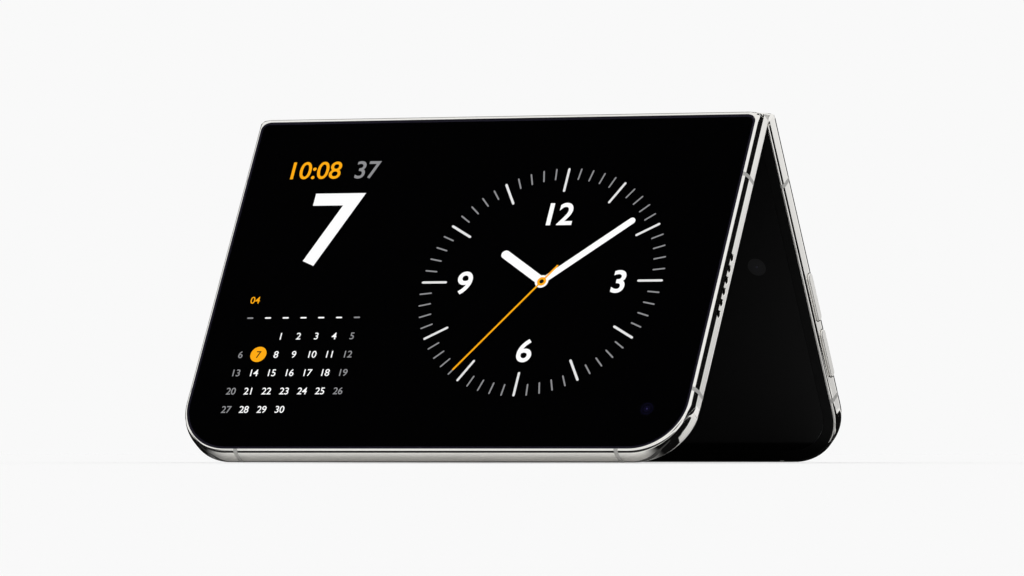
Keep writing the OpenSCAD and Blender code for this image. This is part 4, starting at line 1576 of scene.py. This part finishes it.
    def build_almanac(self) -> None:
        """The time in digits, the day of the month and a month grid of plain numbers."""
        m = self.almanac
        for name, text, x, finish in (("label_time", "10:08", m.label_x, ORANGE),
                                      ("label_seconds", "37", m.seconds_x, MID_GREY)):
            self.ink(name, [self.numeral(text, x, m.label_y, m.label_h, m.label_weight, "LEFT")],
                     finish)
        day = self.numeral(str(m.today), m.day_x, m.day_y, m.day_h, m.day_weight)
        self.ink("day_numeral", [day], WHITE)
        month = self.numeral("04", m.grid_x - m.month_shift, m.grid_y - m.row, m.digit_h,
                             m.grid_weight, "LEFT")
        self.ink("month_numeral", [month], ORANGE)
        workdays, weekend, today = [], [], []
        for column in range(7):
            mark = self.shape(pill(m.mark_l, m.mark_w, 4), m.grid_x + column * m.column, m.grid_y)
            (weekend if column in (0, 6) else workdays).append(mark)
        for day in range(1, m.days + 1):
            row, column = divmod(m.first_column + day - 1, 7)
            x, y = m.grid_x + column * m.column, m.grid_y + (row + 1) * m.row
            digits = self.numeral(str(day), x, y, m.digit_h, m.grid_weight)
            if day == m.today:
                today = [x, y]
                self.ink("today_numeral", [digits], DARK, 1)
            else:
                (weekend if column in (0, 6) else workdays).append(digits)
        self.ink("month_workdays", workdays, WHITE)
        self.ink("month_weekend", weekend, MID_GREY)
        self.ink("today_disc", [self.shape(disc(m.today_r), *today)], ORANGE)

    def build(self) -> None:
        """All the visible pieces of the front half."""
        self.build_frame()
        self.build_inner_face()
        self.build_glass()
        self.build_dial()
        self.build_almanac()


# ---------------------------------------------------------------- rear half


@dataclass
class RearHalf(Half):
    """The half with the rear cameras, the buttons and the port."""

    side: Side = Side.REAR
    crown: tuple[Point, ...] = ((0.25, 0.03), (0.2, 0.08))
    speaker_y: float = 60.0
    rear_mic_y: float = 18.1
    volume_l: float = 11.6
    volume_ys: tuple[float, float] = (44.15, 58.05)
    power_l: float = 12.0
    power_x: float = 22.0
    button_w: float = 2.0
    button_rise: float = 0.45
    button_fit: float = 0.14
    button_deep: float = 1.75
    button_round: float = 0.22
    slot_xs: Point = (-3.0, 1.0)
    port_y: float = 37.6
    port_w: float = 8.4
    port_h: float = 2.6
    port_wall: float = 0.3
    port_l: float = 7.4
    port_sink: float = 0.1
    port_round: float = 0.08
    port_room: float = 0.5
    tongue_w: float = 6.7
    tongue_t: float = 0.7
    tongue_l: float = 6.2
    tongue_sink: float = 0.9
    tongue_round: float = 0.12
    inner_camera_x: float = 49.4
    inner_camera_y: float = 35.3
    inner_camera_r: float = 2.1
    inner_camera_steps: int = 40
    plateau_x: float = 44.5
    plateau_y: float = 60.0
    plateau_l: float = 33.0
    plateau_w: float = 15.0
    plateau_rise: float = 1.5
    plateau_round: float = 0.5
    plateau_steps: int = 32
    lens_pitch: float = 17.0
    lens_r: float = 4.2
    ring_w: float = 0.8
    ring_rise: float = 0.7
    ring_fit: float = 0.01
    ring_round: float = 0.22
    lens_fit: float = 0.02
    lens_sink: float = 0.2
    lens_round: float = 0.12
    lens_steps: int = 64
    flash_r: float = 1.5
    flash_fit: float = 0.02
    flash_sink: float = 0.05
    flash_round: float = 0.15
    flash_steps: int = 32

    def on_side(self, bm: bmesh.types.BMesh, y: float, sign: int = 1) -> bmesh.types.BMesh:
        """Puts a solid that is drawn along X at the middle of a side's height.

        Args:
            bm: The solid, with the side's face at x = 0 and its outside towards +X.
            y: Its middle, from the hinge-side end.
            sign: Which side, -1 or 1.

        Returns:
            The same mesh.
        """
        s = self.sizes
        return move(bm, Matrix.Translation((sign * s.body_w / 2, y, s.half_t / 2))
                    @ Matrix.Diagonal((sign, 1, 1, 1)))

    def on_free_edge(self, bm: bmesh.types.BMesh, x: float) -> bmesh.types.BMesh:
        """Puts a solid that is drawn along X at the middle of the free edge's height.

        Args:
            bm: The solid, with the edge's face at x = 0 and its outside towards +X.
            x: Its middle along the hinge.

        Returns:
            The same mesh.
        """
        s = self.sizes
        return move(bm, Matrix.Translation((x, s.half_h, s.half_t / 2))
                    @ Matrix.Rotation(math.pi / 2, 4, "Z"))

    def stem(self, length: float, grow: float, x0: float, x1: float) -> bmesh.types.BMesh:
        """A bar with round ends, grown all round, from x0 to x1."""
        return bar(pill(length + 2 * grow, self.button_w + 2 * grow), x1 - x0, (x0 + x1) / 2)

    def frame_tools(self) -> list[bmesh.types.BMesh]:
        """The slots of the buttons, the port, and the speaker's and microphone's holes.

        Returns:
            The tools.
        """
        x = -self.sizes.body_w / 2
        holes = [*self.grille(x, self.speaker_y), self.hole(x, self.rear_mic_y, self.mic_r)]
        slots = [self.on_side(self.stem(self.volume_l, self.button_fit, *self.slot_xs), y)
                 for y in self.volume_ys]
        slots.append(self.on_free_edge(self.stem(self.power_l, self.button_fit, *self.slot_xs),
                                       self.power_x))
        mouth = pill(self.port_w + 2 * self.port_wall, self.port_h + 2 * self.port_wall)
        slots.append(self.on_side(bar(mouth, self.port_l + 2 * OVER, OVER - self.port_l / 2),
                                  self.port_y, -1))
        return [joined([*holes, *slots])]

    def cap(self, length: float) -> bmesh.types.BMesh:
        """A button's cap with its outer rim rounded."""
        bm = self.stem(length, 0, -self.button_deep, self.button_rise)
        return softened(bm, past(self.button_rise), self.button_round, 4)

    def build_buttons(self) -> None:
        """The two volume buttons and the power button, each on its own body."""
        for name, y in zip(("volume_up", "volume_down"), self.volume_ys):
            piece(f"{name}_cap", self.on_side(self.cap(self.volume_l), y), self.place, name,
                  POLISHED, [f"{name}_button"])
        piece("power_cap", self.on_free_edge(self.cap(self.power_l), self.power_x), self.place,
              "power", POLISHED, ["power_button"])

    def build_port(self) -> None:
        """The port's steel shell and its tongue."""
        wide, high, wall = self.port_w, self.port_h, self.port_wall
        middle = -self.port_sink - self.port_l / 2
        shell = bar(pill(wide + 2 * wall, high + 2 * wall), self.port_l, middle)
        room = bar(pill(wide, high), self.port_l, middle + wall + self.port_room)
        shell = softened(carved(shell, [room]), past(-self.port_sink), self.port_round, 2)
        self.add("port_shell_steel", self.on_side(shell, self.port_y, -1), PORT_STEEL,
                 "port_steel", ["port_shell"])
        t, w = self.tongue_t / 2, self.tongue_w / 2
        tongue = bar([(-w, -t), (w, -t), (w, t), (-w, t)], self.tongue_l,
                     -self.tongue_sink - self.tongue_l / 2)
        softened(tongue, corner_edge, self.tongue_round, 2)
        self.add("port_tongue_moulded", self.on_side(tongue, self.port_y, -1), RUBBER_BLACK,
                 "port_plastic", ["port_tongue"])

    def plateau_place(self, z: float) -> Matrix:
        """From the plateau's drawing, which lies along X, to the half's."""
        return (Matrix.Translation((self.plateau_x, self.plateau_y, z))
                @ Matrix.Rotation(math.pi / 2, 4, "Z"))

    def build_back(self) -> None:
        """The back cover and the plateau with its two cameras and flash."""
        s, steps = self.sizes, self.plateau_steps
        top = s.half_t + self.plateau_rise
        room = slab(pill(self.plateau_l + 2 * s.seat_fit, self.plateau_w + 2 * s.seat_fit, steps),
                    -OVER, 2 * s.half_t)
        cover = carved(self.cover(), [move(room, self.plateau_place(0))])
        self.add("back_cover_frosted", cover, BACK, "satin_back", ["back_cover"])
        holes = [shifted(slab(disc(self.lens_r + self.ring_w, self.lens_steps), 0, 2 * top), x)
                 for x in (-self.lens_pitch / 2, self.lens_pitch / 2)]
        flash_at = (0, self.plateau_w / 2 - self.flash_r - self.ring_w)
        holes.append(shifted(slab(disc(self.flash_r, self.flash_steps), 0, 2 * top), *flash_at))
        block = slab(pill(self.plateau_l, self.plateau_w, steps), s.glass_z0, top)
        softened(block, at_height(top), self.plateau_round, 5)
        block = carved(block, [joined(holes)])
        self.add("camera_plateau_satin", move(block, self.plateau_place(0)), PLATEAU,
                 "plateau_metal", ["camera_plateau"])
        self.build_lenses(top)
        face = top - self.flash_sink
        flash = slab(disc(self.flash_r - self.flash_fit, self.flash_steps), s.glass_z0, face)
        softened(flash, at_height(face), self.flash_round, 3)
        flash = move(shifted(flash, *flash_at), self.plateau_place(0))
        self.add("flash_window", flash, FLASH, "flash_diffuser", ["camera_flash"])

    def build_lenses(self, top: float) -> None:
        """Ring and glass of the two rear cameras.

        Args:
            top: Level of the plateau's outer face.
        """
        s, steps = self.sizes, self.lens_steps
        outer, rim = self.lens_r + self.ring_w, top + self.ring_rise
        face = rim - self.lens_sink
        rings, glasses = [], []
        for x in (-self.lens_pitch / 2, self.lens_pitch / 2):
            ring = carved(slab(disc(outer - self.ring_fit, steps), s.glass_z0, rim),
                          [slab(disc(self.lens_r, steps), -OVER, 2 * rim)])
            softened(ring, at_height(rim), self.ring_round, 4)
            rings.append(shifted(ring, x))
            glass = slab(disc(self.lens_r - self.lens_fit, steps), top, face)
            glasses.append((x, softened(glass, at_height(face), self.lens_round, 3)))
        self.add("camera_rings_polished", move(joined(rings), self.plateau_place(0)), POLISHED,
                 "polished_frame", ["camera_rings"])
        for name, (x, glass) in zip(("main", "wide"), glasses):
            centre = self.place @ self.plateau_place(0) @ Vector((x, 0, face))
            finish = Lens(f"{name}_lens", (0.002, 0.002, 0.004), 0.05, tuple(centre), self.lens_r,
                          (0.03, 0.02, 0.09))
            self.add(f"{name}_camera_glass", move(shifted(glass, x), self.plateau_place(0)),
                     finish, "lens_glass", ["camera_lens_glasses"])

    def build_inner_camera(self) -> None:
        """The camera that looks through the folding display."""
        s = self.sizes
        z0 = s.bezel_rise - self.ink_t
        window = slab(disc(self.inner_camera_r, self.inner_camera_steps), z0, s.bezel_rise)
        window = shifted(window, self.inner_camera_x, self.inner_camera_y)
        centre = self.place @ Vector((self.inner_camera_x, self.inner_camera_y, z0))
        finish = Lens("inner_lens", (0.0018, 0.0018, 0.002), 0.1, tuple(centre),
                      self.inner_camera_r, (0.006, 0.006, 0.01))
        self.add("inner_camera_window", window, finish, "lens_glass")

    def build(self) -> None:
        """All the visible pieces of the rear half."""
        self.build_frame()
        self.build_inner_face()
        self.build_inner_camera()
        self.build_buttons()
        self.build_port()
        self.build_back()


# ---------------------------------------------------------------- spine


@dataclass(frozen=True)
class Strip:
    """A flat strip that bends from the spine into both halves.

    Its depth is that of its face below the axes when the phone is open flat.
    """

    name: str
    finish: Finish
    slot: str
    node: str
    depth: float
    thickness: float
    width: float
    x: float = 0.0


@dataclass
class Spine:
    """The hinge's cover, end caps, and what bends across it."""

    sizes: Sizes = SIZES
    steps: int = 18
    cable_x: float = 25.0
    cable_w: float = 9.0
    cable_t: float = 0.1
    run_fit: float = 0.03
    cap_round: float = 0.1
    fixed_point_rounds: int = 40

    def section(self, radius: float, floor: float) -> list[Point]:
        """The spine's section above a level: a round about each axis, and all between.

        Args:
            radius: Radius of the rounds.
            floor: The level, from the axes.

        Returns:
            The section's points.
        """
        half = self.sizes.axis_gap / 2
        start = math.degrees(math.asin(floor / radius))
        return (arc((half, 0), radius, start, 90, self.steps)
                + arc((-half, 0), radius, 90, 180 - start, self.steps))

    def bent(self, share: float, along: float, depth: float, side: int) -> Point:
        """Where a point of the open-flat display stands when it takes a share of the fold.

        Args:
            share: Share of the half's fold.
            along: Distance from the phone's middle when open flat.
            depth: Depth below the axes.
            side: -1 in front, 1 at the rear.

        Returns:
            Its place in Y and Z, from the middle of the axes.
        """
        half, a = self.sizes.axis_gap / 2, math.radians(share * self.sizes.fold)
        r = along - half
        return (side * (half + r * math.cos(a) - depth * math.sin(a)),
                -r * math.sin(a) - depth * math.cos(a))

    def bend(self, strip: Strip, side: Side) -> tuple[bmesh.types.BMesh, Point, Point]:
        """A strip's stretch from the middle of the spine into one half.

        Args:
            strip: The strip.
            side: The half.

        Returns:
            The stretch's mesh, and the points in Y and Z where the bend starts and ends.
        """
        reach, sign = self.sizes.fold_half, side.value
        start, end = self.bent(0, 0, strip.depth, sign), self.bent(1, reach, strip.depth, sign)
        way = Vector(end) - Vector(start)

        def station(along: float, deep: float) -> Point:
            """A point of the strip, by fixed-point rounds on its share.

            Args:
                along: Distance from the phone's middle when open flat.
                deep: Depth below the axes.

            Returns:
                Its place in Y and Z.
            """
            share = along / reach
            for _ in range(self.fixed_point_rounds):
                place = self.bent(share, along, deep, sign)
                t = (Vector(place) - Vector(start)).dot(way) / way.length_squared
                t = min(1.0, max(0.0, t))
                share = t * t * (3 - 2 * t)
            return place

        stops = [reach * i / self.steps for i in range(self.steps + 1)]
        face = [station(a, strip.depth) for a in stops]
        back = [station(a, strip.depth - strip.thickness) for a in reversed(stops)]
        return bar(face + back, strip.width, strip.x), start, end

    def add_bend(self, strip: Strip, side: Side) -> None:
        """Adds a strip's stretch as a piece that bends between the spine and a half.

        Args:
            strip: The strip.
            side: The half.
        """
        place = self.sizes.spine_place
        bm, *ends = self.bend(strip, side)
        thing = piece(f"{side.word}_{strip.name}_bend", bm, place, "", strip.finish,
                      [strip.node], smooth=False)
        for face in thing.data.polygons:
            face.use_smooth = abs(face.normal.x) < FACING
        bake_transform(thing)

    def build(self) -> None:
        """Cover, end caps, and the two bending strips on either side."""
        s = self.sizes
        length = s.body_w - 2 * s.spine_inset
        cover_l = length - 2 * s.cap_t
        outer = self.section(s.spine_r, s.cover_edge)
        inner = self.section(s.spine_r - s.spine_wall, s.cover_edge)
        piece("spine_cover_satin", bar(outer + inner[::-1], cover_l), s.spine_place, "spine",
              SPINE_SATIN, ["spine_cover"])
        caps = []
        for sign in (-1, 1):
            cap = bar(self.section(s.spine_r, -s.spine_depth), s.cap_t,
                      sign * (length - s.cap_t) / 2)
            caps.append(softened(cap, past(sign * length / 2, sign), self.cap_round, 2))
        piece("spine_end_caps_satin", joined(caps), s.spine_place, "spine", SPINE_CAP,
              ["spine_end_caps"])
        strips = (Strip("display", FILM, "inner_film", "inner_display_fold",
                        s.pivot_z - s.bezel_rise, s.film_t, length - 2 * s.seat_fit),
                  Strip("cable", AMBER, "flex_amber", "hinge_flex_cable",
                        s.pivot_z - s.film_z1 - self.run_fit, self.cable_t, self.cable_w,
                        self.cable_x))
        for side in Side:
            for strip in strips:
                self.add_bend(strip, side)


# ---------------------------------------------------------------- inner pieces


def dress_inner_nodes() -> None:
    """Finishes of the nodes inside, whose shapes stay as they are."""
    low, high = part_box("charging_coil")
    coil_middle = tuple((low + high) / 2)
    steel = Metal("hinge_steel", (0.5, 0.5, 0.52), 0.28, grain=0.2, along=(0.1, 1, 1))
    finishes = {
        "panel_black": GlossGlass("panel_black", (0.01, 0.01, 0.012), 0.15),
        "camera_housing": CAMERA_BLACK,
        "speaker_box": Moulded("speaker_box", (0.03, 0.03, 0.033), 0.45),
        "speaker_mesh": Woven("speaker_mesh", (0.09, 0.09, 0.09), 0.4),
        "battery_foil": Foil("battery_foil", (0.16, 0.16, 0.17), 0.3),
        "board_green": Board("board_green", (0.012, 0.07, 0.03), 0.35),
        "magnet_nickel": Metal("magnet_nickel", (0.7, 0.69, 0.66), 0.15),
        "plate_steel": Metal("plate_steel", (0.55, 0.55, 0.56), 0.35, grain=0.2, along=(0.1, 1, 1)),
        "hinge_steel": steel,
        "pin_steel": Metal("pin_steel", (0.62, 0.62, 0.64), 0.18, grain=0.1),
        "gear_brass": Metal("gear_brass", (0.78, 0.6, 0.3), 0.25, grain=0.15),
        "screw_black": Metal("screw_black", (0.08, 0.08, 0.085), 0.35, grain=0.1),
        "coil_copper": Wound("coil_copper", (0.78, 0.42, 0.24), 0.3, centre=coil_middle),
        "shield_steel": Metal("shield_steel", (0.6, 0.6, 0.61), 0.32, grain=0.2),
        "switch_metal": Metal("switch_metal", (0.65, 0.65, 0.66), 0.25, grain=0.1),
        "lens_glass": CAMERA_BLACK,
    }
    for part in frame["record"]["subparts"]:
        node = frame["nodes"][part["node"]]
        if node.hide_render:
            continue
        node.data.materials.clear()
        node.data.materials.append(finishes[part["material_slot"]].material())
        log.info("%s: dressed as %s", part["node"], part["material_slot"])


# ---------------------------------------------------------------- studio


@dataclass(frozen=True)
class Card:
    """A dark card of the studio that only reflections show: two ranges in degrees."""

    azimuth: tuple[float, float]
    elevation: tuple[float, float]


@dataclass(frozen=True)
class Sheet:
    """A sheet of painted shade on the floor, in millimetres: only reflections show it, as painted
    dark reflections in the polished edges.

    It may fade in between two places along X, and may show only in surfaces that are no
    further from it than a reach.
    """

    outline: tuple[Point, ...]
    tone: float = 0.004
    fade: Point | None = None
    reach: float | None = None


def oblong(x0: float, y0: float, x1: float, y1: float) -> tuple[Point, ...]:
    """Outline of a rectangle between two corners."""
    return (x0, y0), (x1, y0), (x1, y1), (x0, y1)


@dataclass
class Studio:
    """Floor, surroundings, lamp and camera."""

    backdrop: float = 0.947
    fill: float = 0.78
    sun_share: float = 0.22
    sun_height: float = 58.0
    sun_azimuth: float = -35.0
    sun_spread: float = 50.0
    floor_size: float = 60.0
    floor_cells: int = 8
    cards: tuple[Card, ...] = (
        Card((13, 59.5), (-14, 27)),
        Card((-12, 14), (-14, 18)),
        Card((-60, -38), (-12, 20)),
        Card((80, 165), (-14, 17)),
        Card((112, 165), (15, 45)),
        Card((112, 165), (58, 66)),
        Card((-160, -145), (-12, 20)),
        Card((-142, -120), (43, 58)))
    card_soft: Point = (1.5, 2.0)
    # Painted shade: floor patches that are dark only to reflections; the last two, along the front
    # half's free edge, stand for its contact shadow.
    sheets: tuple[Sheet, ...] = (
        Sheet(((122, 38), (125, 11), (165, -9), (1500, -9), (1500, 1200), (684, 1200))),
        Sheet(((165, -60), (900, -215), (900, -9), (165, -9))),
        Sheet(((-51, 47), (66, 47), (66, 38), (101, 38), (270, 400), (-51, 400))),
        Sheet(oblong(-400, -80, -46, 400), fade=(-46, -57)),
        Sheet(((50, -45.5), (92, -45.5), (92, -5), (67.5, -32), (62, -37), (50, -37)),
              fade=(50, 55), reach=50),
        Sheet(oblong(92, -45.5, 125, -6), reach=65),
        Sheet(oblong(125, -45.5, 165, -9), reach=98),
        Sheet(((88, 29.5), (125, 11), (122, 38), (160, 118), (138, 118), (101, 38), (88, 38)),
              reach=77),
        Sheet(oblong(-60, 37, 63, 46.5), reach=12),
        Sheet(oblong(-70, -48.9, 70, -45.9), 0.02),
        Sheet(oblong(-70, -42.7, 60, -41.9), 0.05))
    sheet_lift: float = 0.02
    low_tone: float = 0.3
    low_heights: tuple[float, float] = (-3.0, 3.5)
    card_tone: float = 0.004
    camera_azimuth: float = 25.29
    camera_distance: float = 1951.0
    camera_height: float = 2.0
    focal_px: float = 9006.0
    sensor: float = 36.0
    clip: Point = (0.01, 100.0)
    picture: tuple[int, int] = (1024, 576)
    horizon_px: float = 453.56
    middle_offset: float = -0.724

    def build_floor(self) -> None:
        """A plain pale floor that takes the phone's shadow."""
        bm = bmesh.new()
        bmesh.ops.create_grid(bm, x_segments=self.floor_cells, y_segments=self.floor_cells,
                              size=self.floor_size / 2)
        floor = as_object("floor", bm)
        material, shader = new_material("pale_floor")
        surface = shader.node("ShaderNodeBsdfDiffuse", None, Color=(self.backdrop,) * 3)
        shader.node("ShaderNodeOutputMaterial", None, Surface=surface)
        floor.data.materials.append(material)

    def build_sheets(self) -> None:
        """The sheets of painted shade that polished edges reflect near the floor."""
        for number, sheet in enumerate(self.sheets, 1):
            name = f"dark_sheet_{number}"
            material, shader = new_material(name)
            share = 1.0
            if sheet.fade:
                share = shader.axis(shader.point(), "X").smooth(*sheet.fade)
            # The reach keeps the painted shade to reflections in surfaces close to the sheet.
            if sheet.reach:
                length = shader.node("ShaderNodeLightPath", out="Ray Length")
                share = share * length.below(sheet.reach * MM)
            bare = shader.node("ShaderNodeBsdfTransparent")
            dark = shader.node("ShaderNodeEmission", None, (sheet.tone,) * 3, 1.0)
            surface = shader.node("ShaderNodeMixShader", None, share, bare, dark)
            shader.node("ShaderNodeOutputMaterial", None, Surface=surface)
            bm = flat(sheet.outline, "Z", number * self.sheet_lift)
            bm.transform(Matrix.Scale(MM, 4))
            thing = as_object(name, bm)
            thing.data.materials.append(material)
            # Camera, diffuse and shadow rays see nothing here: the sheet is only painted shade in
            # reflections.
            for ray in ("camera", "diffuse", "transmission", "volume_scatter", "shadow"):
                setattr(thing, f"visible_{ray}", False)

    def build_world(self) -> None:
        """Even light all round, a white backdrop, and dark cards for reflections."""
        world = bpy.data.worlds.new("studio")
        bpy.context.scene.world = world
        world.use_nodes = True
        shader = Shader(world.node_tree)
        direction = shader.node("ShaderNodeTexCoord", out="Generated")
        x, y, z = (shader.axis(direction, name) for name in "XYZ")
        degrees = math.degrees(1)
        azimuth = shader.node("ShaderNodeMath", {"operation": "ARCTAN2"}, y, x) * degrees
        height = shader.node("ShaderNodeMath", {"operation": "ARCSINE"}, z) * degrees
        across, up = self.card_soft
        dark = 0.0
        for card in self.cards:
            dark = dark + azimuth.window(*card.azimuth, across) * height.window(*card.elevation, up)
        low, high = ((tone * self.backdrop,) * 3 for tone in (self.low_tone, 1.0))
        seen = shader.blend(height.smooth(*self.low_heights), low, high)
        seen = shader.blend(dark, seen, (self.card_tone,) * 3)
        path = shader.node("ShaderNodeLightPath", out="Is Camera Ray")
        glossy = shader.node("ShaderNodeLightPath", out="Is Glossy Ray")
        colour = shader.blend(glossy, (self.fill,) * 3, seen)
        colour = shader.blend(path, colour, (self.backdrop,) * 3)
        surface = shader.node("ShaderNodeBackground", None, colour, 1.0)
        shader.node("ShaderNodeOutputWorld", None, Surface=surface)

    def build_lamp(self) -> None:
        """One broad soft lamp, up and to the left of the camera."""
        lamp = bpy.data.lights.new("soft_lamp", "SUN")
        lamp.angle = math.radians(self.sun_spread)
        lamp.energy = self.sun_share * math.pi / math.sin(math.radians(self.sun_height))
        thing = bpy.data.objects.new("soft_lamp", lamp)
        tilt = math.radians(90 - self.sun_height)
        thing.rotation_euler = (tilt, 0, math.radians(self.sun_azimuth))
        thing.visible_glossy = False
        bpy.context.scene.collection.objects.link(thing)

    def build_camera(self) -> None:
        """The photograph's view: level with the ground, to the right of the front."""
        data = bpy.data.cameras.new("camera")
        data.sensor_width = self.sensor
        data.lens = self.focal_px * self.sensor / self.picture[0]
        data.clip_start, data.clip_end = self.clip
        a = math.radians(self.camera_azimuth)
        pitch = math.atan((self.horizon_px - self.picture[1] / 2) / self.focal_px)
        back = Vector((math.sin(a), -math.cos(a), 0))
        right = Vector((math.cos(a), math.sin(a), 0))
        place = back * self.camera_distance + right * self.middle_offset
        place.z = self.camera_height
        camera = bpy.data.objects.new("camera", data)
        camera.location = place * MM
        view = -back * math.cos(pitch) + Vector((0, 0, math.sin(pitch)))
        camera.rotation_euler = view.to_track_quat("-Z", "Y").to_euler()
        bpy.context.scene.collection.objects.link(camera)
        bpy.context.scene.camera = camera
        bpy.context.scene.view_settings.view_transform = "Standard"

    def build(self) -> None:
        """The whole studio."""
        self.build_camera()
        self.build_floor()
        self.build_sheets()
        self.build_world()
        self.build_lamp()


def main() -> None:
    """Builds the studio, the phone's sub-assemblies and their finishes, in that order."""
    logging.basicConfig(level=logging.INFO, format="%(name)s: %(message)s", stream=sys.stdout)
    Studio().build()
    FrontHalf().build()
    RearHalf().build()
    Spine().build()
    dress_inner_nodes()


if __name__ == "__main__":
    main()
